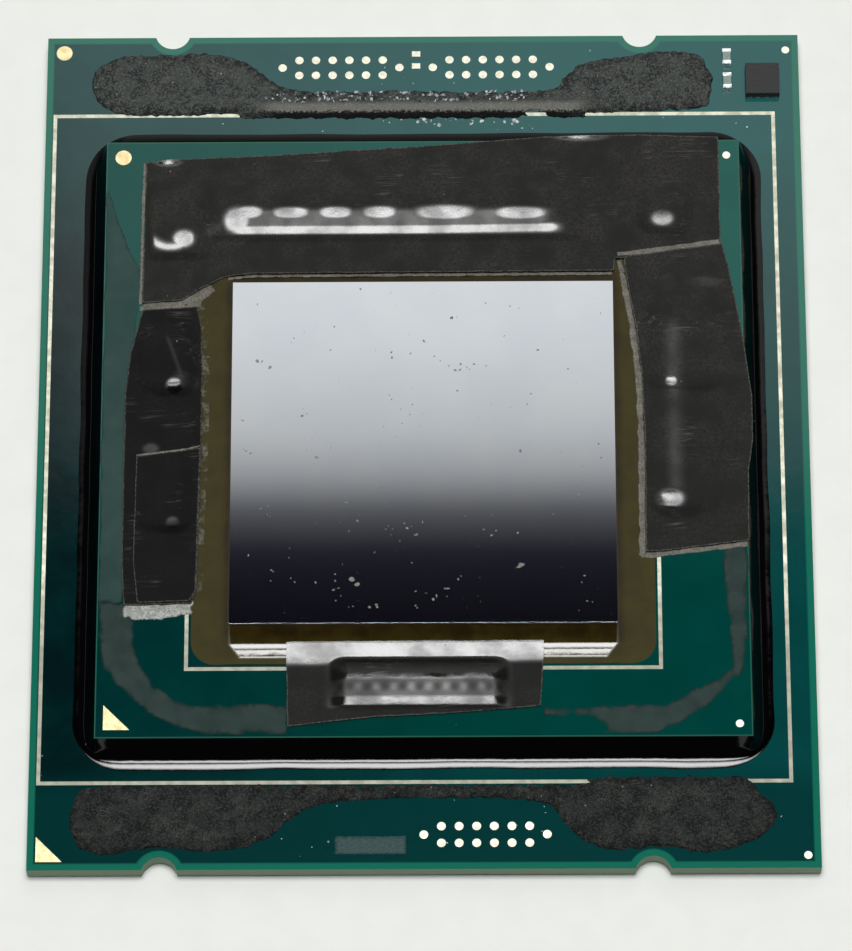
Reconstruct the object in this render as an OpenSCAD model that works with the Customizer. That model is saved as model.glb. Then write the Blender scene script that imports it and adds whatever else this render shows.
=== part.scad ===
// Lidless processor package: a silicon die on a carrier board, soldered to a land-grid package board.
// Millimetres. +Z is up, +Y points to the rear edge, and the origin is under the middle of the board.

/* [Package board] */
// Width of the package board
board_w = 45; // [43:0.5:50]
// Length of the package board
board_l = 52.5; // [50:0.5:58]
// Thickness of the package board
board_t = 1; // [0.6:0.1:2]
// Radius of the four key notches in the rear and front edges
notch_r = 1.05; // [0.6:0.05:1.3]
// How far a notch's centre lies outside the edge
notch_out = 0.3; // [0.1:0.05:0.5]
// Distance of the left notches from the left edge
notch_left = 7.5; // [5:0.5:10]
// Distance of the right notches from the right edge
notch_right = 9.5; // [6:0.5:12]

/* [Gold marks and lines] */
// Depth of the gold, which lies flush in the board
gold_t = 0.03; // [0.02:0.01:0.1]
// Width of the gold lines
line_w = 0.22; // [0.15:0.01:0.4]
// Lid line's distance from the left edge of the package board
lid_line_left = 0.55; // [0.4:0.05:1.5]
// Lid line's distance from the right edge of the package board
lid_line_right = 1.6; // [0.5:0.1:2.5]
// Lid line's distance from the rear and front edges of the package board
lid_line_end = 5.2; // [4.6:0.1:6]
// Die line's distance from the die
die_line_gap = 2.45; // [2.35:0.05:3]
// Diameter of a test pad
pad_d = 0.5; // [0.3:0.05:0.8]
// Pitch of the test pads
pad_pitch = 1; // [0.9:0.05:1.1]
// Distance of the outer row of test pads from the edge
pad_edge = 1.55; // [1.3:0.05:1.8]
// How far the middle of the rear test pads lies right of the board's middle
rear_pads_x = -0.4; // [-1.5:0.1:1.5]
// How far the middle of the front test pads lies right of the board's middle
front_pads_x = 3.5; // [2:0.1:5]
// Side of the two rectangular rear pads
rect_pad_w = 0.5; // [0.3:0.05:0.7]
// Diameter of the large alignment dots
large_dot_d = 0.95; // [0.6:0.05:1.2]
// Diameter of the small alignment dots
small_dot_d = 0.46; // [0.3:0.02:0.6]
// Distance of the rear dots from the rear edge, and of the large one from the left edge
dot_edge = 1; // [0.7:0.05:1.3]
// Distance of the small dots from the right edge, and of the front one from the front edge
small_dot_edge = 0.75; // [0.5:0.05:1.2]
// Legs of the corner triangles
triangle_leg = 1.5; // [1:0.1:2]
// Distance of the corner triangles from the edges of their board
triangle_edge = 0.5; // [0.3:0.05:0.8]

/* [Lid sealant] */
// Height of the torn sealant
sealant_t = 0.25; // [0.1:0.05:0.5]
// Distance of the sealant's inner side from the carrier
sealant_gap = 2.35; // [2:0.05:3]
// Distance of the sealant's wings from the edge of the package board
sealant_edge = 1; // [0.5:0.05:2]

/* [Carrier board] */
// Distance of the carrier from the left and right edges of the package board
carrier_side = 3.75; // [3.2:0.05:4.5]
// Distance of the carrier from the rear and front edges of the package board
carrier_end = 7.5; // [7:0.1:8.5]
// Thickness of the carrier board
carrier_t = 0.85; // [0.5:0.05:1.5]
// Height of the solder joint between the two boards
joint_h = 0.3; // [0.2:0.05:0.6]
// Diameter of a solder joint
ball_d = 0.6; // [0.4:0.05:0.9]
// Pitch of the solder joints
ball_pitch = 1.6; // [1.4:0.1:3]
// How far the black bead reaches out from the carrier
bead_reach = 1.3; // [0.6:0.05:1.8]
// How far the black bead reaches in under the carrier
bead_under = 1.2; // [0.5:0.1:2]
// How far the bead's rim lies below the carrier's top
bead_drop = 0.05; // [0.02:0.01:0.3]
// Radius of the bead's outer corners
bead_corner_r = 3; // [1.5:0.1:4]

/* [Die] */
// Width of the die
die_w = 22.25; // [20:0.05:23]
// Length of the die
die_l = 21.35; // [19:0.05:22]
// Thickness of the die
die_t = 0.78; // [0.5:0.02:1]
// Height of the underfill between the die and the carrier
die_gap = 0.08; // [0.05:0.01:0.15]
// How far the die's centre lies in front of the carrier's
die_forward = 1.45; // [0.5:0.05:2]
// How far the amber underfill reaches out from the die
fillet_reach = 2.2; // [1:0.05:2.3]
// Height of the amber underfill on the die's wall
fillet_h = 0.65; // [0.3:0.05:0.7]

/* [Capacitors] */
// Length of a capacitor
cap_l = 2; // [1.6:0.1:2.2]
// Length of a long capacitor
long_cap_l = 3.2; // [2.6:0.1:3.6]
// Width of a capacitor
cap_w = 1.25; // [0.8:0.05:1.6]
// Height of a capacitor
cap_h = 0.55; // [0.4:0.05:0.6]
// Length of a chip capacitor
chip_cap_l = 1; // [0.8:0.05:1.1]
// Width of a chip capacitor
chip_cap_w = 0.5; // [0.4:0.05:0.7]
// Height of a chip capacitor
chip_cap_h = 0.45; // [0.3:0.05:0.6]
// Share of a capacitor's length that each metal end takes
end_share = 0.22; // [0.15:0.01:0.35]
// How far a metal end stands proud of the ceramic
end_proud = 0.02; // [0.01:0.01:0.05]
// Distance of the rear row from the die
rear_row = 5.35; // [4.8:0.05:5.8]
// Distance of the left row from the die
left_row = 3.6; // [3.5:0.05:3.8]
// Distance of the right row from the die
right_row = 3.6; // [3.5:0.05:3.9]
// Distance of the front row from the die
front_row = 3.2; // [3.1:0.05:3.4]
// Pitch of the front row
front_pitch = 1; // [0.85:0.05:1.2]
// How far the middle of the front row lies right of the die's middle
front_middle = -0.2; // [-1:0.1:1]

/* [Tape] */
// Thickness of the tape
tape_t = 0.13; // [0.08:0.01:0.2]
// Room between the tape and what it covers
tape_room = 0.02; // [0.01:0.01:0.05]
// Width of the slope where the tape comes down beside a capacitor
tape_slope = 0.85; // [0.3:0.05:0.9]

/* [Identity chip] */
// Side of the identity chip
chip_w = 2; // [1.5:0.1:2.2]
// Height of the identity chip
chip_h = 0.6; // [0.4:0.05:0.8]
// Distance of the chip's centre from the right edge
chip_right = 2.2; // [1.8:0.05:2.4]
// Distance of the chip's centre from the rear edge
chip_rear = 3.15; // [2.8:0.05:3.4]
// Width of a lead of the chip
lead_w = 0.25; // [0.15:0.05:0.35]
// How far a lead stands out from the chip
lead_out = 0.05; // [0.02:0.01:0.2]
// Thickness of a lead
lead_t = 0.06; // [0.04:0.01:0.1]
// Distance between the chip and the middle of its two capacitors
chip_to_cap = 1.1; // [0.9:0.05:1.2]
// How far the middle of its two capacitors lies behind the chip's centre
chip_caps_back = 0.75; // [0.4:0.05:0.9]

/* [Land side] */
// Side of a contact land
land_w = 0.6; // [0.4:0.05:0.7]
// Thickness of a contact land
land_t = 0.02; // [0.01:0.01:0.05]
// Pitch of the lands along a row
land_pitch = 1.016; // [0.9:0.002:1.2]
// Pitch of the rows of lands
land_row = 0.88; // [0.8:0.01:1]
// Distance of the outer lands from the edges of the board
land_edge = 1.1; // [0.8:0.05:2]
// Side of the square in the middle that has no lands
bare_w = 18; // [16:0.5:20]
// Length of a land-side capacitor
land_cap_l = 1.6; // [1.2:0.1:2]
// Width of a land-side capacitor
land_cap_w = 0.8; // [0.5:0.05:1]
// Height of a land-side capacitor, which the part rests on
land_cap_h = 0.3; // [0.2:0.02:0.6]
// Pitch of the land-side capacitors
land_cap_pitch = 3; // [2.4:0.1:3.2]

/* [Hidden] */
$fn = 32;
cut = 0.2;
curve_steps = 8;

half_w = board_w / 2;
half_l = board_l / 2;
carrier_w = board_w - 2 * carrier_side;
carrier_l = board_l - 2 * carrier_end;
half_cw = carrier_w / 2;
half_cl = carrier_l / 2;

board_z = land_cap_h;
board_top = board_z + board_t;
carrier_z = board_top + joint_h;
carrier_top = carrier_z + carrier_t;
die_z = carrier_top + die_gap;

die_left = -die_w / 2;
die_right = die_w / 2;
die_rear = die_l / 2 - die_forward;
die_front = -die_l / 2 - die_forward;

// Two test pads stand side by side in each of these columns, counted in pitches from the group's middle.
rear_columns = [for (side = [-1, 1]) for (k = [2:7]) side * k];
rear_singles = [-8, -1, 1, 8];
front_columns = [-2.5:1:2.5];
front_singles = [-3.5, 3.5];

// Places round the die: share of the die's half, and share of the way from the die to the carrier's edge.
function beside(side, p) = [
    side * (die_w / 2 + p[0] * (half_cw - die_w / 2)),
    p[1] * die_l / 2 - die_forward
];
function behind(p) = [p[0] * die_w / 2, die_rear + p[1] * (half_cl - die_rear)];
function before(p) = [p[0] * die_w / 2, die_front - p[1] * (half_cl + die_front)];

// Places of the capacitors along their rows, as shares of the die's half. A long one is marked with true.
rear_places = [
    [-0.948, false], [-0.679, false], [-0.445, false], [-0.216, false], [0.108, true], [0.517, true]
];
rear_corner_place = beside(-1, [0.485, 1.375]);
rear_chip_place = beside(1, [0.407, 1.45]);
left_places = [0.539, -0.286];
right_places = [0.754, 0.529, 0.08, -0.145];
front_count = 8;

module box(w, l, h) {
    translate([-w / 2, -l / 2, 0]) cube([w, l, h]);
}

// A rectangle drawn as a line of the given width.
module line_frame(x0, x1, y0, y1) {
    difference() {
        translate([x0 - line_w / 2, y0 - line_w / 2]) square([x1 - x0 + line_w, y1 - y0 + line_w]);
        translate([x0 + line_w / 2, y0 + line_w / 2]) square([x1 - x0 - line_w, y1 - y0 - line_w]);
    }
}

// Gold that fills a shallow pocket and ends flush with the surface at height z.
module gold_fill(z) {
    translate([0, 0, z - gold_t]) linear_extrude(gold_t) children();
}

// The pocket that the same gold lies in.
module gold_pocket(z) {
    translate([0, 0, z - gold_t]) linear_extrude(gold_t + cut) children();
}

// Three alignment dots, a large one at the rear left.
module dots_shape(w, l) {
    translate([-w / 2 + dot_edge, l / 2 - dot_edge]) circle(d = large_dot_d);
    translate([w / 2 - small_dot_edge, l / 2 - dot_edge]) circle(d = small_dot_d);
    translate([w / 2 - small_dot_edge, -l / 2 + small_dot_edge]) circle(d = small_dot_d);
}

// The triangle that marks the front left corner.
module triangle_shape(w, l) {
    translate([-w / 2 + triangle_edge, -l / 2 + triangle_edge])
        polygon([[0, 0], [triangle_leg, 0], [0, triangle_leg]]);
}

// Package board

module board_outline() {
    difference() {
        square([board_w, board_l], center = true);
        for (side = [-1, 1]) {
            translate([-half_w + notch_left, side * (half_l + notch_out)]) circle(r = notch_r);
            translate([half_w - notch_right, side * (half_l + notch_out)]) circle(r = notch_r);
        }
    }
}

module lid_line_shape() {
    y = half_l - lid_line_end;
    line_frame(-half_w + lid_line_left, half_w - lid_line_right, -y, y);
}

module rear_pads_shape() {
    outer = half_l - pad_edge;
    for (k = rear_columns, row = [0, 1])
        translate([rear_pads_x + k * pad_pitch, outer - row * pad_pitch]) circle(d = pad_d);
    for (k = rear_singles)
        translate([rear_pads_x + k * pad_pitch, outer - pad_pitch / 2]) circle(d = pad_d);
    for (row = [-0.4, 0.4])
        translate([rear_pads_x, outer + row * pad_pitch])
            square([rect_pad_w, 0.7 * rect_pad_w], center = true);
}

module front_pads_shape() {
    outer = -half_l + pad_edge;
    for (k = front_columns, row = [0, 1])
        translate([front_pads_x + k * pad_pitch, outer + row * pad_pitch]) circle(d = pad_d);
    for (k = front_singles)
        translate([front_pads_x + k * pad_pitch, outer + pad_pitch / 2]) circle(d = pad_d);
}

module package_board() {
    color([0.05, 0.26, 0.25]) difference() {
        translate([0, 0, board_z]) linear_extrude(board_t) board_outline();
        gold_pocket(board_top) lid_line_shape();
        gold_pocket(board_top) rear_pads_shape();
        gold_pocket(board_top) front_pads_shape();
        gold_pocket(board_top) dots_shape(board_w, board_l);
        gold_pocket(board_top) triangle_shape(board_w, board_l);
    }
}

module lid_line() {
    color([0.96, 0.9, 0.72]) gold_fill(board_top) lid_line_shape();
}

module rear_test_pads() {
    color([0.96, 0.9, 0.72]) gold_fill(board_top) rear_pads_shape();
}

module front_test_pads() {
    color([0.96, 0.9, 0.72]) gold_fill(board_top) front_pads_shape();
}

module board_dots() {
    color([0.96, 0.9, 0.72]) gold_fill(board_top) dots_shape(board_w, board_l);
}

module board_triangle() {
    color([0.96, 0.9, 0.72]) gold_fill(board_top) triangle_shape(board_w, board_l);
}

// Lid sealant: two wings joined by a thin strip, torn off unevenly

// A point of a smooth curve between b and c, with a and d as their neighbours.
function between(a, b, c, d, t) =
    0.5 * (2 * b + (c - a) * t + (2 * a - 5 * b + 4 * c - d) * t ^ 2 + (3 * b - a - 3 * c + d) * t ^ 3);

// A smooth closed outline through the given points.
function smooth(p, steps = 3) = [
    for (i = [0:len(p) - 1], k = [0:steps - 1])
        let (n = len(p))
        between(p[(i + n - 1) % n], p[i], p[(i + 1) % n], p[(i + 2) % n], k / steps)
];

// Sealant points: shares of the way from the board's left or right edge to its middle, and across the seat.
function seat_y(share) = half_cl + sealant_gap + share * (half_l - sealant_edge - half_cl - sealant_gap);
function from_left(p) = [(p[0] - 1) * half_w, seat_y(p[1])];
function from_right(p) = [(1 - p[0]) * half_w, seat_y(p[1])];

module sealant(left_wing, right_wing, mirror_y) {
    outline = concat([for (p = left_wing) from_left(p)], [for (p = right_wing) from_right(p)]);
    translate([0, 0, board_top]) linear_extrude(sealant_t)
        scale([1, mirror_y]) polygon(smooth(outline));
}

module rear_sealant() {
    left_wing = [
        [0.978, 0], [0.622, 0.02], [0.222, 0], [0.142, 0.2], [0.12, 0.45], [0.142, 0.8],
        [0.222, 0.94], [0.333, 0.95], [0.436, 0.98], [0.533, 0.82], [0.6, 0.48], [0.689, 0.25],
        [0.978, 0.2]
    ];
    right_wing = [
        [0.689, 0.24], [0.622, 0.55], [0.569, 0.8], [0.444, 0.92], [0.356, 0.98], [0.276, 0.95],
        [0.236, 0.62], [0.236, 0.28], [0.28, 0.06], [0.533, 0]
    ];
    color([0.15, 0.15, 0.15]) sealant(left_wing, right_wing, 1);
}

module front_sealant() {
    left_wing = [
        [0.978, 0.04], [0.622, 0.03], [0.222, 0.03], [0.133, 0.1], [0.107, 0.4], [0.116, 0.72],
        [0.147, 0.96], [0.213, 1.02], [0.293, 0.94], [0.382, 0.94], [0.453, 1], [0.547, 0.92],
        [0.618, 0.75], [0.684, 0.44], [0.764, 0.28], [0.978, 0.22]
    ];
    right_wing = [
        [0.72, 0.27], [0.653, 0.52], [0.591, 0.86], [0.507, 0.97], [0.391, 0.92], [0.302, 1.02],
        [0.196, 0.9], [0.124, 0.66], [0.116, 0.4], [0.16, 0.14], [0.231, 0.05], [0.622, 0.03]
    ];
    color([0.15, 0.15, 0.15]) sealant(left_wing, right_wing, -1);
}

// Hollow slope of a liquid that dried against a wall: outline in (distance from the wall, height).
function slope_profile(reach, h) = concat(
    [[0, 0]],
    [for (i = [0:curve_steps - 1]) reach * [1 - i / curve_steps, 0] + [0, h * (i / curve_steps) ^ 2]],
    [[0, h]]
);

// That slope round all four sides of a box.
module slope_ring(w, l, reach, h) {
    profile = slope_profile(reach, h);
    for (side = [0, 1]) rotate(180 * side) {
        translate([w / 2, l / 2, 0]) rotate([90, 0, 0]) linear_extrude(l) polygon(profile);
        translate([-w / 2, l / 2, 0]) rotate([90, 0, 90]) linear_extrude(w) polygon(profile);
        translate([w / 2, l / 2, 0]) rotate_extrude(angle = 90) polygon(profile);
        translate([-w / 2, l / 2, 0]) rotate(90) rotate_extrude(angle = 90) polygon(profile);
    }
}

// Carrier board and its joint

module solder_balls() {
    field_w = carrier_w - 2 * bead_under - ball_d;
    field_l = carrier_l - 2 * bead_under - ball_d;
    columns = floor(field_w / ball_pitch);
    rows = floor(field_l / ball_pitch);
    color([0.7, 0.7, 0.72]) translate([0, 0, board_top]) linear_extrude(joint_h)
        for (i = [0:columns - 1], j = [0:rows - 1])
            translate([(i - (columns - 1) / 2) * ball_pitch, (j - (rows - 1) / 2) * ball_pitch])
                circle(d = ball_d);
}

module bead_outline() {
    w = carrier_w + 2 * bead_reach;
    l = carrier_l + 2 * bead_reach;
    square([w - 2 * bead_corner_r, l], center = true);
    square([w, l - 2 * bead_corner_r], center = true);
    for (x = [-1, 1], y = [-1, 1])
        translate([x * (w / 2 - bead_corner_r), y * (l / 2 - bead_corner_r)]) circle(r = bead_corner_r);
}

module carrier_underfill() {
    rim_h = joint_h + carrier_t - bead_drop;
    color([0.02, 0.02, 0.02]) translate([0, 0, board_top]) {
        intersection() {
            slope_ring(carrier_w, carrier_l, bead_reach, rim_h);
            linear_extrude(rim_h) bead_outline();
        }
        difference() {
            box(carrier_w, carrier_l, joint_h);
            translate([0, 0, -cut])
                box(carrier_w - 2 * bead_under, carrier_l - 2 * bead_under, joint_h + 2 * cut);
        }
    }
}

module die_line_shape() {
    gap = die_line_gap;
    line_frame(die_left - gap, die_right + gap, die_front - gap, die_rear + gap);
}

module carrier_board() {
    color([0.04, 0.24, 0.22]) difference() {
        translate([0, 0, carrier_z]) box(carrier_w, carrier_l, carrier_t);
        gold_pocket(carrier_top) die_line_shape();
        gold_pocket(carrier_top) dots_shape(carrier_w, carrier_l);
        gold_pocket(carrier_top) triangle_shape(carrier_w, carrier_l);
    }
}

module carrier_dots() {
    color([0.96, 0.9, 0.72]) gold_fill(carrier_top) dots_shape(carrier_w, carrier_l);
}

module carrier_triangle() {
    color([0.96, 0.9, 0.72]) gold_fill(carrier_top) triangle_shape(carrier_w, carrier_l);
}

module die_line() {
    color([0.96, 0.9, 0.72]) gold_fill(carrier_top) die_line_shape();
}

// Die and its underfill

module die_slope() {
    translate([0, -die_forward, carrier_top]) slope_ring(die_w, die_l, fillet_reach, fillet_h);
}

module die_underfill() {
    color([0.22, 0.19, 0.07]) {
        die_slope();
        translate([0, -die_forward, carrier_top]) box(die_w, die_l, die_gap);
    }
}

module silicon_die() {
    color([0.6, 0.63, 0.66]) translate([0, -die_forward, die_z]) box(die_w, die_l, die_t);
}

// Capacitors: a ceramic block between two metal ends, with its length along X

module cap_body(l, w, h) {
    inner = l * (1 - 2 * end_share);
    translate([0, 0, end_proud]) box(inner, w - 2 * end_proud, h - 2 * end_proud);
}

module cap_ends(l, w, h) {
    end = l * end_share;
    for (side = [-1, 1]) translate([side * (l - end) / 2, 0, 0]) box(end, w, h);
}

module rear_places_each() {
    for (p = rear_places) translate([p[0] * die_w / 2, die_rear + rear_row, carrier_top]) {
        $length = p[1] ? long_cap_l : cap_l;
        children();
    }
    $length = cap_l;
    translate([rear_corner_place[0], rear_corner_place[1], carrier_top]) rotate(90) children();
}

module rear_chip_place_each() {
    translate([rear_chip_place[0], rear_chip_place[1], carrier_top]) children();
}

module left_places_each() {
    for (share = left_places)
        translate([die_left - left_row, beside(-1, [0, share])[1], carrier_top]) rotate(90) children();
}

module right_places_each() {
    for (share = right_places)
        translate([die_right + right_row, beside(1, [0, share])[1], carrier_top]) rotate(90) children();
}

module front_places_each() {
    middle = (front_count - 1) / 2;
    for (i = [0:front_count - 1])
        translate([front_middle + (i - middle) * front_pitch, die_front - front_row, carrier_top])
            rotate(90) children();
}

module rear_capacitors() {
    color([0.55, 0.45, 0.33]) {
        rear_places_each() cap_body($length, cap_w, cap_h);
        rear_chip_place_each() cap_body(chip_cap_l, chip_cap_w, chip_cap_h);
    }
}

module rear_capacitor_ends() {
    color([0.75, 0.75, 0.76]) {
        rear_places_each() cap_ends($length, cap_w, cap_h);
        rear_chip_place_each() cap_ends(chip_cap_l, chip_cap_w, chip_cap_h);
    }
}

module left_capacitors() {
    color([0.55, 0.45, 0.33]) left_places_each() cap_body(cap_l, cap_w, cap_h);
}

module left_capacitor_ends() {
    color([0.75, 0.75, 0.76]) left_places_each() cap_ends(cap_l, cap_w, cap_h);
}

module right_capacitors() {
    color([0.55, 0.45, 0.33]) right_places_each() cap_body(cap_l, cap_w, cap_h);
}

module right_capacitor_ends() {
    color([0.75, 0.75, 0.76]) right_places_each() cap_ends(cap_l, cap_w, cap_h);
}

module front_capacitors() {
    color([0.55, 0.45, 0.33]) front_places_each() cap_body(chip_cap_l, chip_cap_w, chip_cap_h);
}

module front_capacitor_ends() {
    color([0.75, 0.75, 0.76]) front_places_each() cap_ends(chip_cap_l, chip_cap_w, chip_cap_h);
}

// Tape: a thin sheet that follows the carrier and the amber slope, with hollow tents over the capacitors

// A block with sloping sides, from the carrier's top up to height h.
module sloped_block(w, l, slope, h) {
    intersection() {
        rotate([90, 0, 0]) linear_extrude(l + 2 * slope, center = true)
            polygon([[-w / 2 - slope, 0], [w / 2 + slope, 0], [w / 2, h], [-w / 2, h]]);
        rotate([90, 0, 90]) linear_extrude(w + 2 * slope, center = true)
            polygon([[-l / 2 - slope, 0], [l / 2 + slope, 0], [l / 2, h], [-l / 2, h]]);
    }
}

// The outside of a tent over a block of w by l by h, and the hollow under it. Layer 1 lies on layer 0.
module tent(w, l, h, layer = 0) {
    spread = 2 * (tape_room + tape_t + layer * (tape_room + tape_t));
    sloped_block(w + spread, l + spread, tape_slope, h + tape_room + tape_t);
}

module tent_hollow(w, l, h, layer = 0) {
    spread = 2 * (tape_room + layer * (tape_room + tape_t));
    rise = h + tape_room;
    slope = tape_slope * (rise + cut) / rise;
    translate([0, 0, -cut]) sloped_block(w + spread, l + spread, slope, rise + cut);
}

// Room over the amber slope, or over a sheet of the given thickness that lies on it.
module slope_room(under = 0) {
    for (lift = [0, tape_room]) translate([0, 0, under + lift]) die_slope();
}

// A sheet of the given outline, laid over the amber slope.
module sheet(outline) {
    difference() {
        intersection() {
            union() {
                translate([0, 0, carrier_top]) box(2 * board_w, 2 * board_l, tape_t);
                translate([0, 0, tape_t]) die_slope();
            }
            translate([0, 0, carrier_top]) linear_extrude(fillet_h + tape_t) polygon(outline);
        }
        slope_room();
    }
}

rear_tape_front = behind([0, 0.184])[1];

rear_outline = [for (p = [
    [-1.481, -0.1], [-1.27, -0.084], [-1.171, -0.01], [-1.045, 0.052], [-0.901, 0.079],
    [1.009, 0.089], [1.018, 0.184], [1.575, 0.184], [1.575, 1.016], [1.162, 1.031], [0.649, 1.021],
    [-0.011, 0.958], [-0.892, 0.895], [-1.333, 0.874], [-1.472, 0.853]
]) behind(p)];

module rear_tents(hollow) {
    first = rear_places[0][0] * die_w / 2 - cap_l / 2;
    last = rear_places[len(rear_places) - 1][0] * die_w / 2 + long_cap_l / 2;
    translate([(first + last) / 2, die_rear + rear_row, carrier_top])
        tent_or_hollow(hollow, last - first, cap_w, cap_h);
    translate([rear_corner_place[0], rear_corner_place[1], carrier_top])
        tent_or_hollow(hollow, cap_w, cap_l, cap_h);
    rear_chip_place_each() tent_or_hollow(hollow, chip_cap_l, chip_cap_w, chip_cap_h);
}

module tent_or_hollow(hollow, w, l, h, layer = 0) {
    if (hollow) tent_hollow(w, l, h, layer);
    else tent(w, l, h, layer);
}

module rear_tape() {
    color([0.17, 0.17, 0.17]) difference() {
        union() {
            sheet(rear_outline);
            rear_tents(false);
        }
        rear_tents(true);
    }
}

right_outline = [for (p = [
    [0.223, -0.576], [1.007, -0.506], [1.013, -0.098], [1.052, 0.08], [1.052, 0.342],
    [0.987, 0.735], [0.902, 1.094], [0.849, 1.248], [0.092, 1.173], [0.111, 1.009], [0.177, 0.735],
    [0.216, 0.436], [0.23, 0.08]
]) beside(1, p)];

module right_tents(hollow) {
    for (k = [0, 2]) {
        y0 = beside(1, [0, right_places[k + 1]])[1];
        y1 = beside(1, [0, right_places[k]])[1];
        translate([die_right + right_row, (y0 + y1) / 2, carrier_top])
            tent_or_hollow(hollow, cap_w, y1 - y0 + cap_l, cap_h);
    }
}

// Part of the right tape's outline between two heights along Y.
module right_outline_part(y0, y1, z, h) {
    translate([0, 0, z]) linear_extrude(h) intersection() {
        polygon(right_outline);
        translate([-board_w, y0]) square([2 * board_w, y1 - y0]);
    }
}

module right_tape() {
    step_y = rear_tape_front - tape_room;
    color([0.17, 0.17, 0.17]) difference() {
        union() {
            right_outline_part(-board_l, step_y, carrier_top, tape_t);
            right_outline_part(step_y - tape_t, step_y, carrier_top, 2 * tape_t);
            right_outline_part(step_y - tape_t, board_l, carrier_top + tape_t, tape_t);
            right_tents(false);
        }
        right_tents(true);
        slope_room();
        slope_room(tape_t);
    }
}

left_lower_outline = [for (p = [
    [0.8, -0.867], [0.289, -0.857], [0.249, -0.782], [0.23, 0.042], [0.23, 0.511], [0.236, 0.745],
    [0.275, 0.888], [0.695, 0.869], [0.787, 0.604], [0.82, 0.361], [0.82, -0.614]
]) beside(-1, p)];

left_upper_outline = [for (p = [
    [0.695, -0.857], [0.302, -0.848], [0.256, -0.782], [0.236, 0.042], [0.472, 0.014],
    [0.721, -0.005], [0.734, -0.614]
]) beside(-1, p)];

module left_tents(hollow, places, layer) {
    for (share = places)
        translate([die_left - left_row, beside(-1, [0, share])[1], carrier_top + layer * tape_t])
            tent_or_hollow(hollow, cap_w, cap_l, cap_h, layer);
}

module left_lower_tape() {
    color([0.12, 0.12, 0.12]) difference() {
        union() {
            translate([0, 0, carrier_top]) linear_extrude(tape_t) polygon(left_lower_outline);
            left_tents(false, left_places, 0);
        }
        left_tents(true, left_places, 0);
        slope_room();
    }
}

module left_upper_tape() {
    color([0.12, 0.12, 0.12]) difference() {
        union() {
            translate([0, 0, carrier_top + tape_t]) linear_extrude(tape_t) polygon(left_upper_outline);
            left_tents(false, [left_places[1]], 1);
        }
        left_tents(true, [left_places[1]], 1);
    }
}

front_outline = [for (p = [
    [-0.697, 0.906], [-0.27, 0.823], [0.189, 0.785], [0.602, 0.725], [0.62, 0.136], [-0.706, 0.143]
]) before(p)];

module front_tents(hollow) {
    run = (front_count - 1) * front_pitch + chip_cap_w;
    translate([front_middle, die_front - front_row, carrier_top])
        tent_or_hollow(hollow, run, chip_cap_l, chip_cap_h);
}

module front_tape() {
    color([0.17, 0.17, 0.17]) difference() {
        union() {
            sheet(front_outline);
            front_tents(false);
        }
        front_tents(true);
        slope_room();
    }
}

// Identity chip with its leads and two chip capacitors

chip_place = [half_w - chip_right, half_l - chip_rear, board_top];

module identity_chip() {
    color([0.2, 0.2, 0.2]) translate(chip_place + [0, 0, lead_t]) box(chip_w, chip_w, chip_h - lead_t);
}

module identity_chip_leads() {
    reach = chip_w + 2 * lead_out;
    color([0.8, 0.8, 0.8]) translate(chip_place)
        for (k = [-1.5:1:1.5], side = [-1, 1])
            translate([k * chip_w / 4, side * (reach - chip_w / 4) / 2, 0]) box(lead_w, chip_w / 4, lead_t);
}

module identity_places_each() {
    x = half_w - chip_right - chip_w / 2 - chip_to_cap;
    middle = half_l - chip_rear + chip_caps_back;
    for (side = [-1, 1])
        translate([x, middle + side * 0.8 * chip_cap_l, board_top]) rotate(90) children();
}

module identity_capacitors() {
    color([0.5, 0.55, 0.53]) identity_places_each() cap_body(chip_cap_l, chip_cap_w, chip_cap_h);
}

module identity_capacitor_ends() {
    color([0.8, 0.8, 0.8]) identity_places_each() cap_ends(chip_cap_l, chip_cap_w, chip_cap_h);
}

// Land side: staggered rows of gold lands round a bare square with capacitors

land_columns = floor((half_w - land_edge) / land_pitch);
land_rows = floor((half_l - land_edge) / land_row);

// Centres of all lands, clear of the notches and of the bare square.
function near_notch(p) = min([
    for (x = [-half_w + notch_left, half_w - notch_right], side = [-1, 1])
        norm(p - [x, side * (half_l + notch_out)])
]) < notch_r + land_edge;
function in_bare(p) = max(abs(p[0]), abs(p[1])) < bare_w / 2 + land_w / 2;
land_centres = [
    for (j = [-land_rows:land_rows], i = [-land_columns:land_columns])
        let (p = [(i + (j % 2 == 0 ? 0.25 : -0.25)) * land_pitch, j * land_row])
        if (!near_notch(p) && !in_bare(p) && abs(p[0]) < half_w - land_edge) p
];

module lands(centres) {
    color([0.93, 0.78, 0.45]) translate([0, 0, board_z - land_t]) linear_extrude(land_t)
        for (p = centres) translate(p) square(land_w, center = true);
}

module rear_lands() {
    lands([for (p = land_centres) if (p[1] > bare_w / 2) p]);
}

module front_lands() {
    lands([for (p = land_centres) if (p[1] < -bare_w / 2) p]);
}

module left_lands() {
    lands([for (p = land_centres) if (abs(p[1]) <= bare_w / 2 && p[0] < 0) p]);
}

module right_lands() {
    lands([for (p = land_centres) if (abs(p[1]) <= bare_w / 2 && p[0] > 0) p]);
}

module land_side_places_each() {
    count = floor((bare_w - land_cap_l) / land_cap_pitch);
    middle = (count - 1) / 2;
    for (i = [0:count - 1], j = [0:count - 1])
        translate([(i - middle) * land_cap_pitch, (j - middle) * land_cap_pitch, 0]) children();
}

module land_side_capacitors() {
    color([0.55, 0.45, 0.33]) land_side_places_each() cap_body(land_cap_l, land_cap_w, land_cap_h);
}

module land_side_capacitor_ends() {
    color([0.75, 0.75, 0.76]) land_side_places_each() cap_ends(land_cap_l, land_cap_w, land_cap_h);
}

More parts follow.
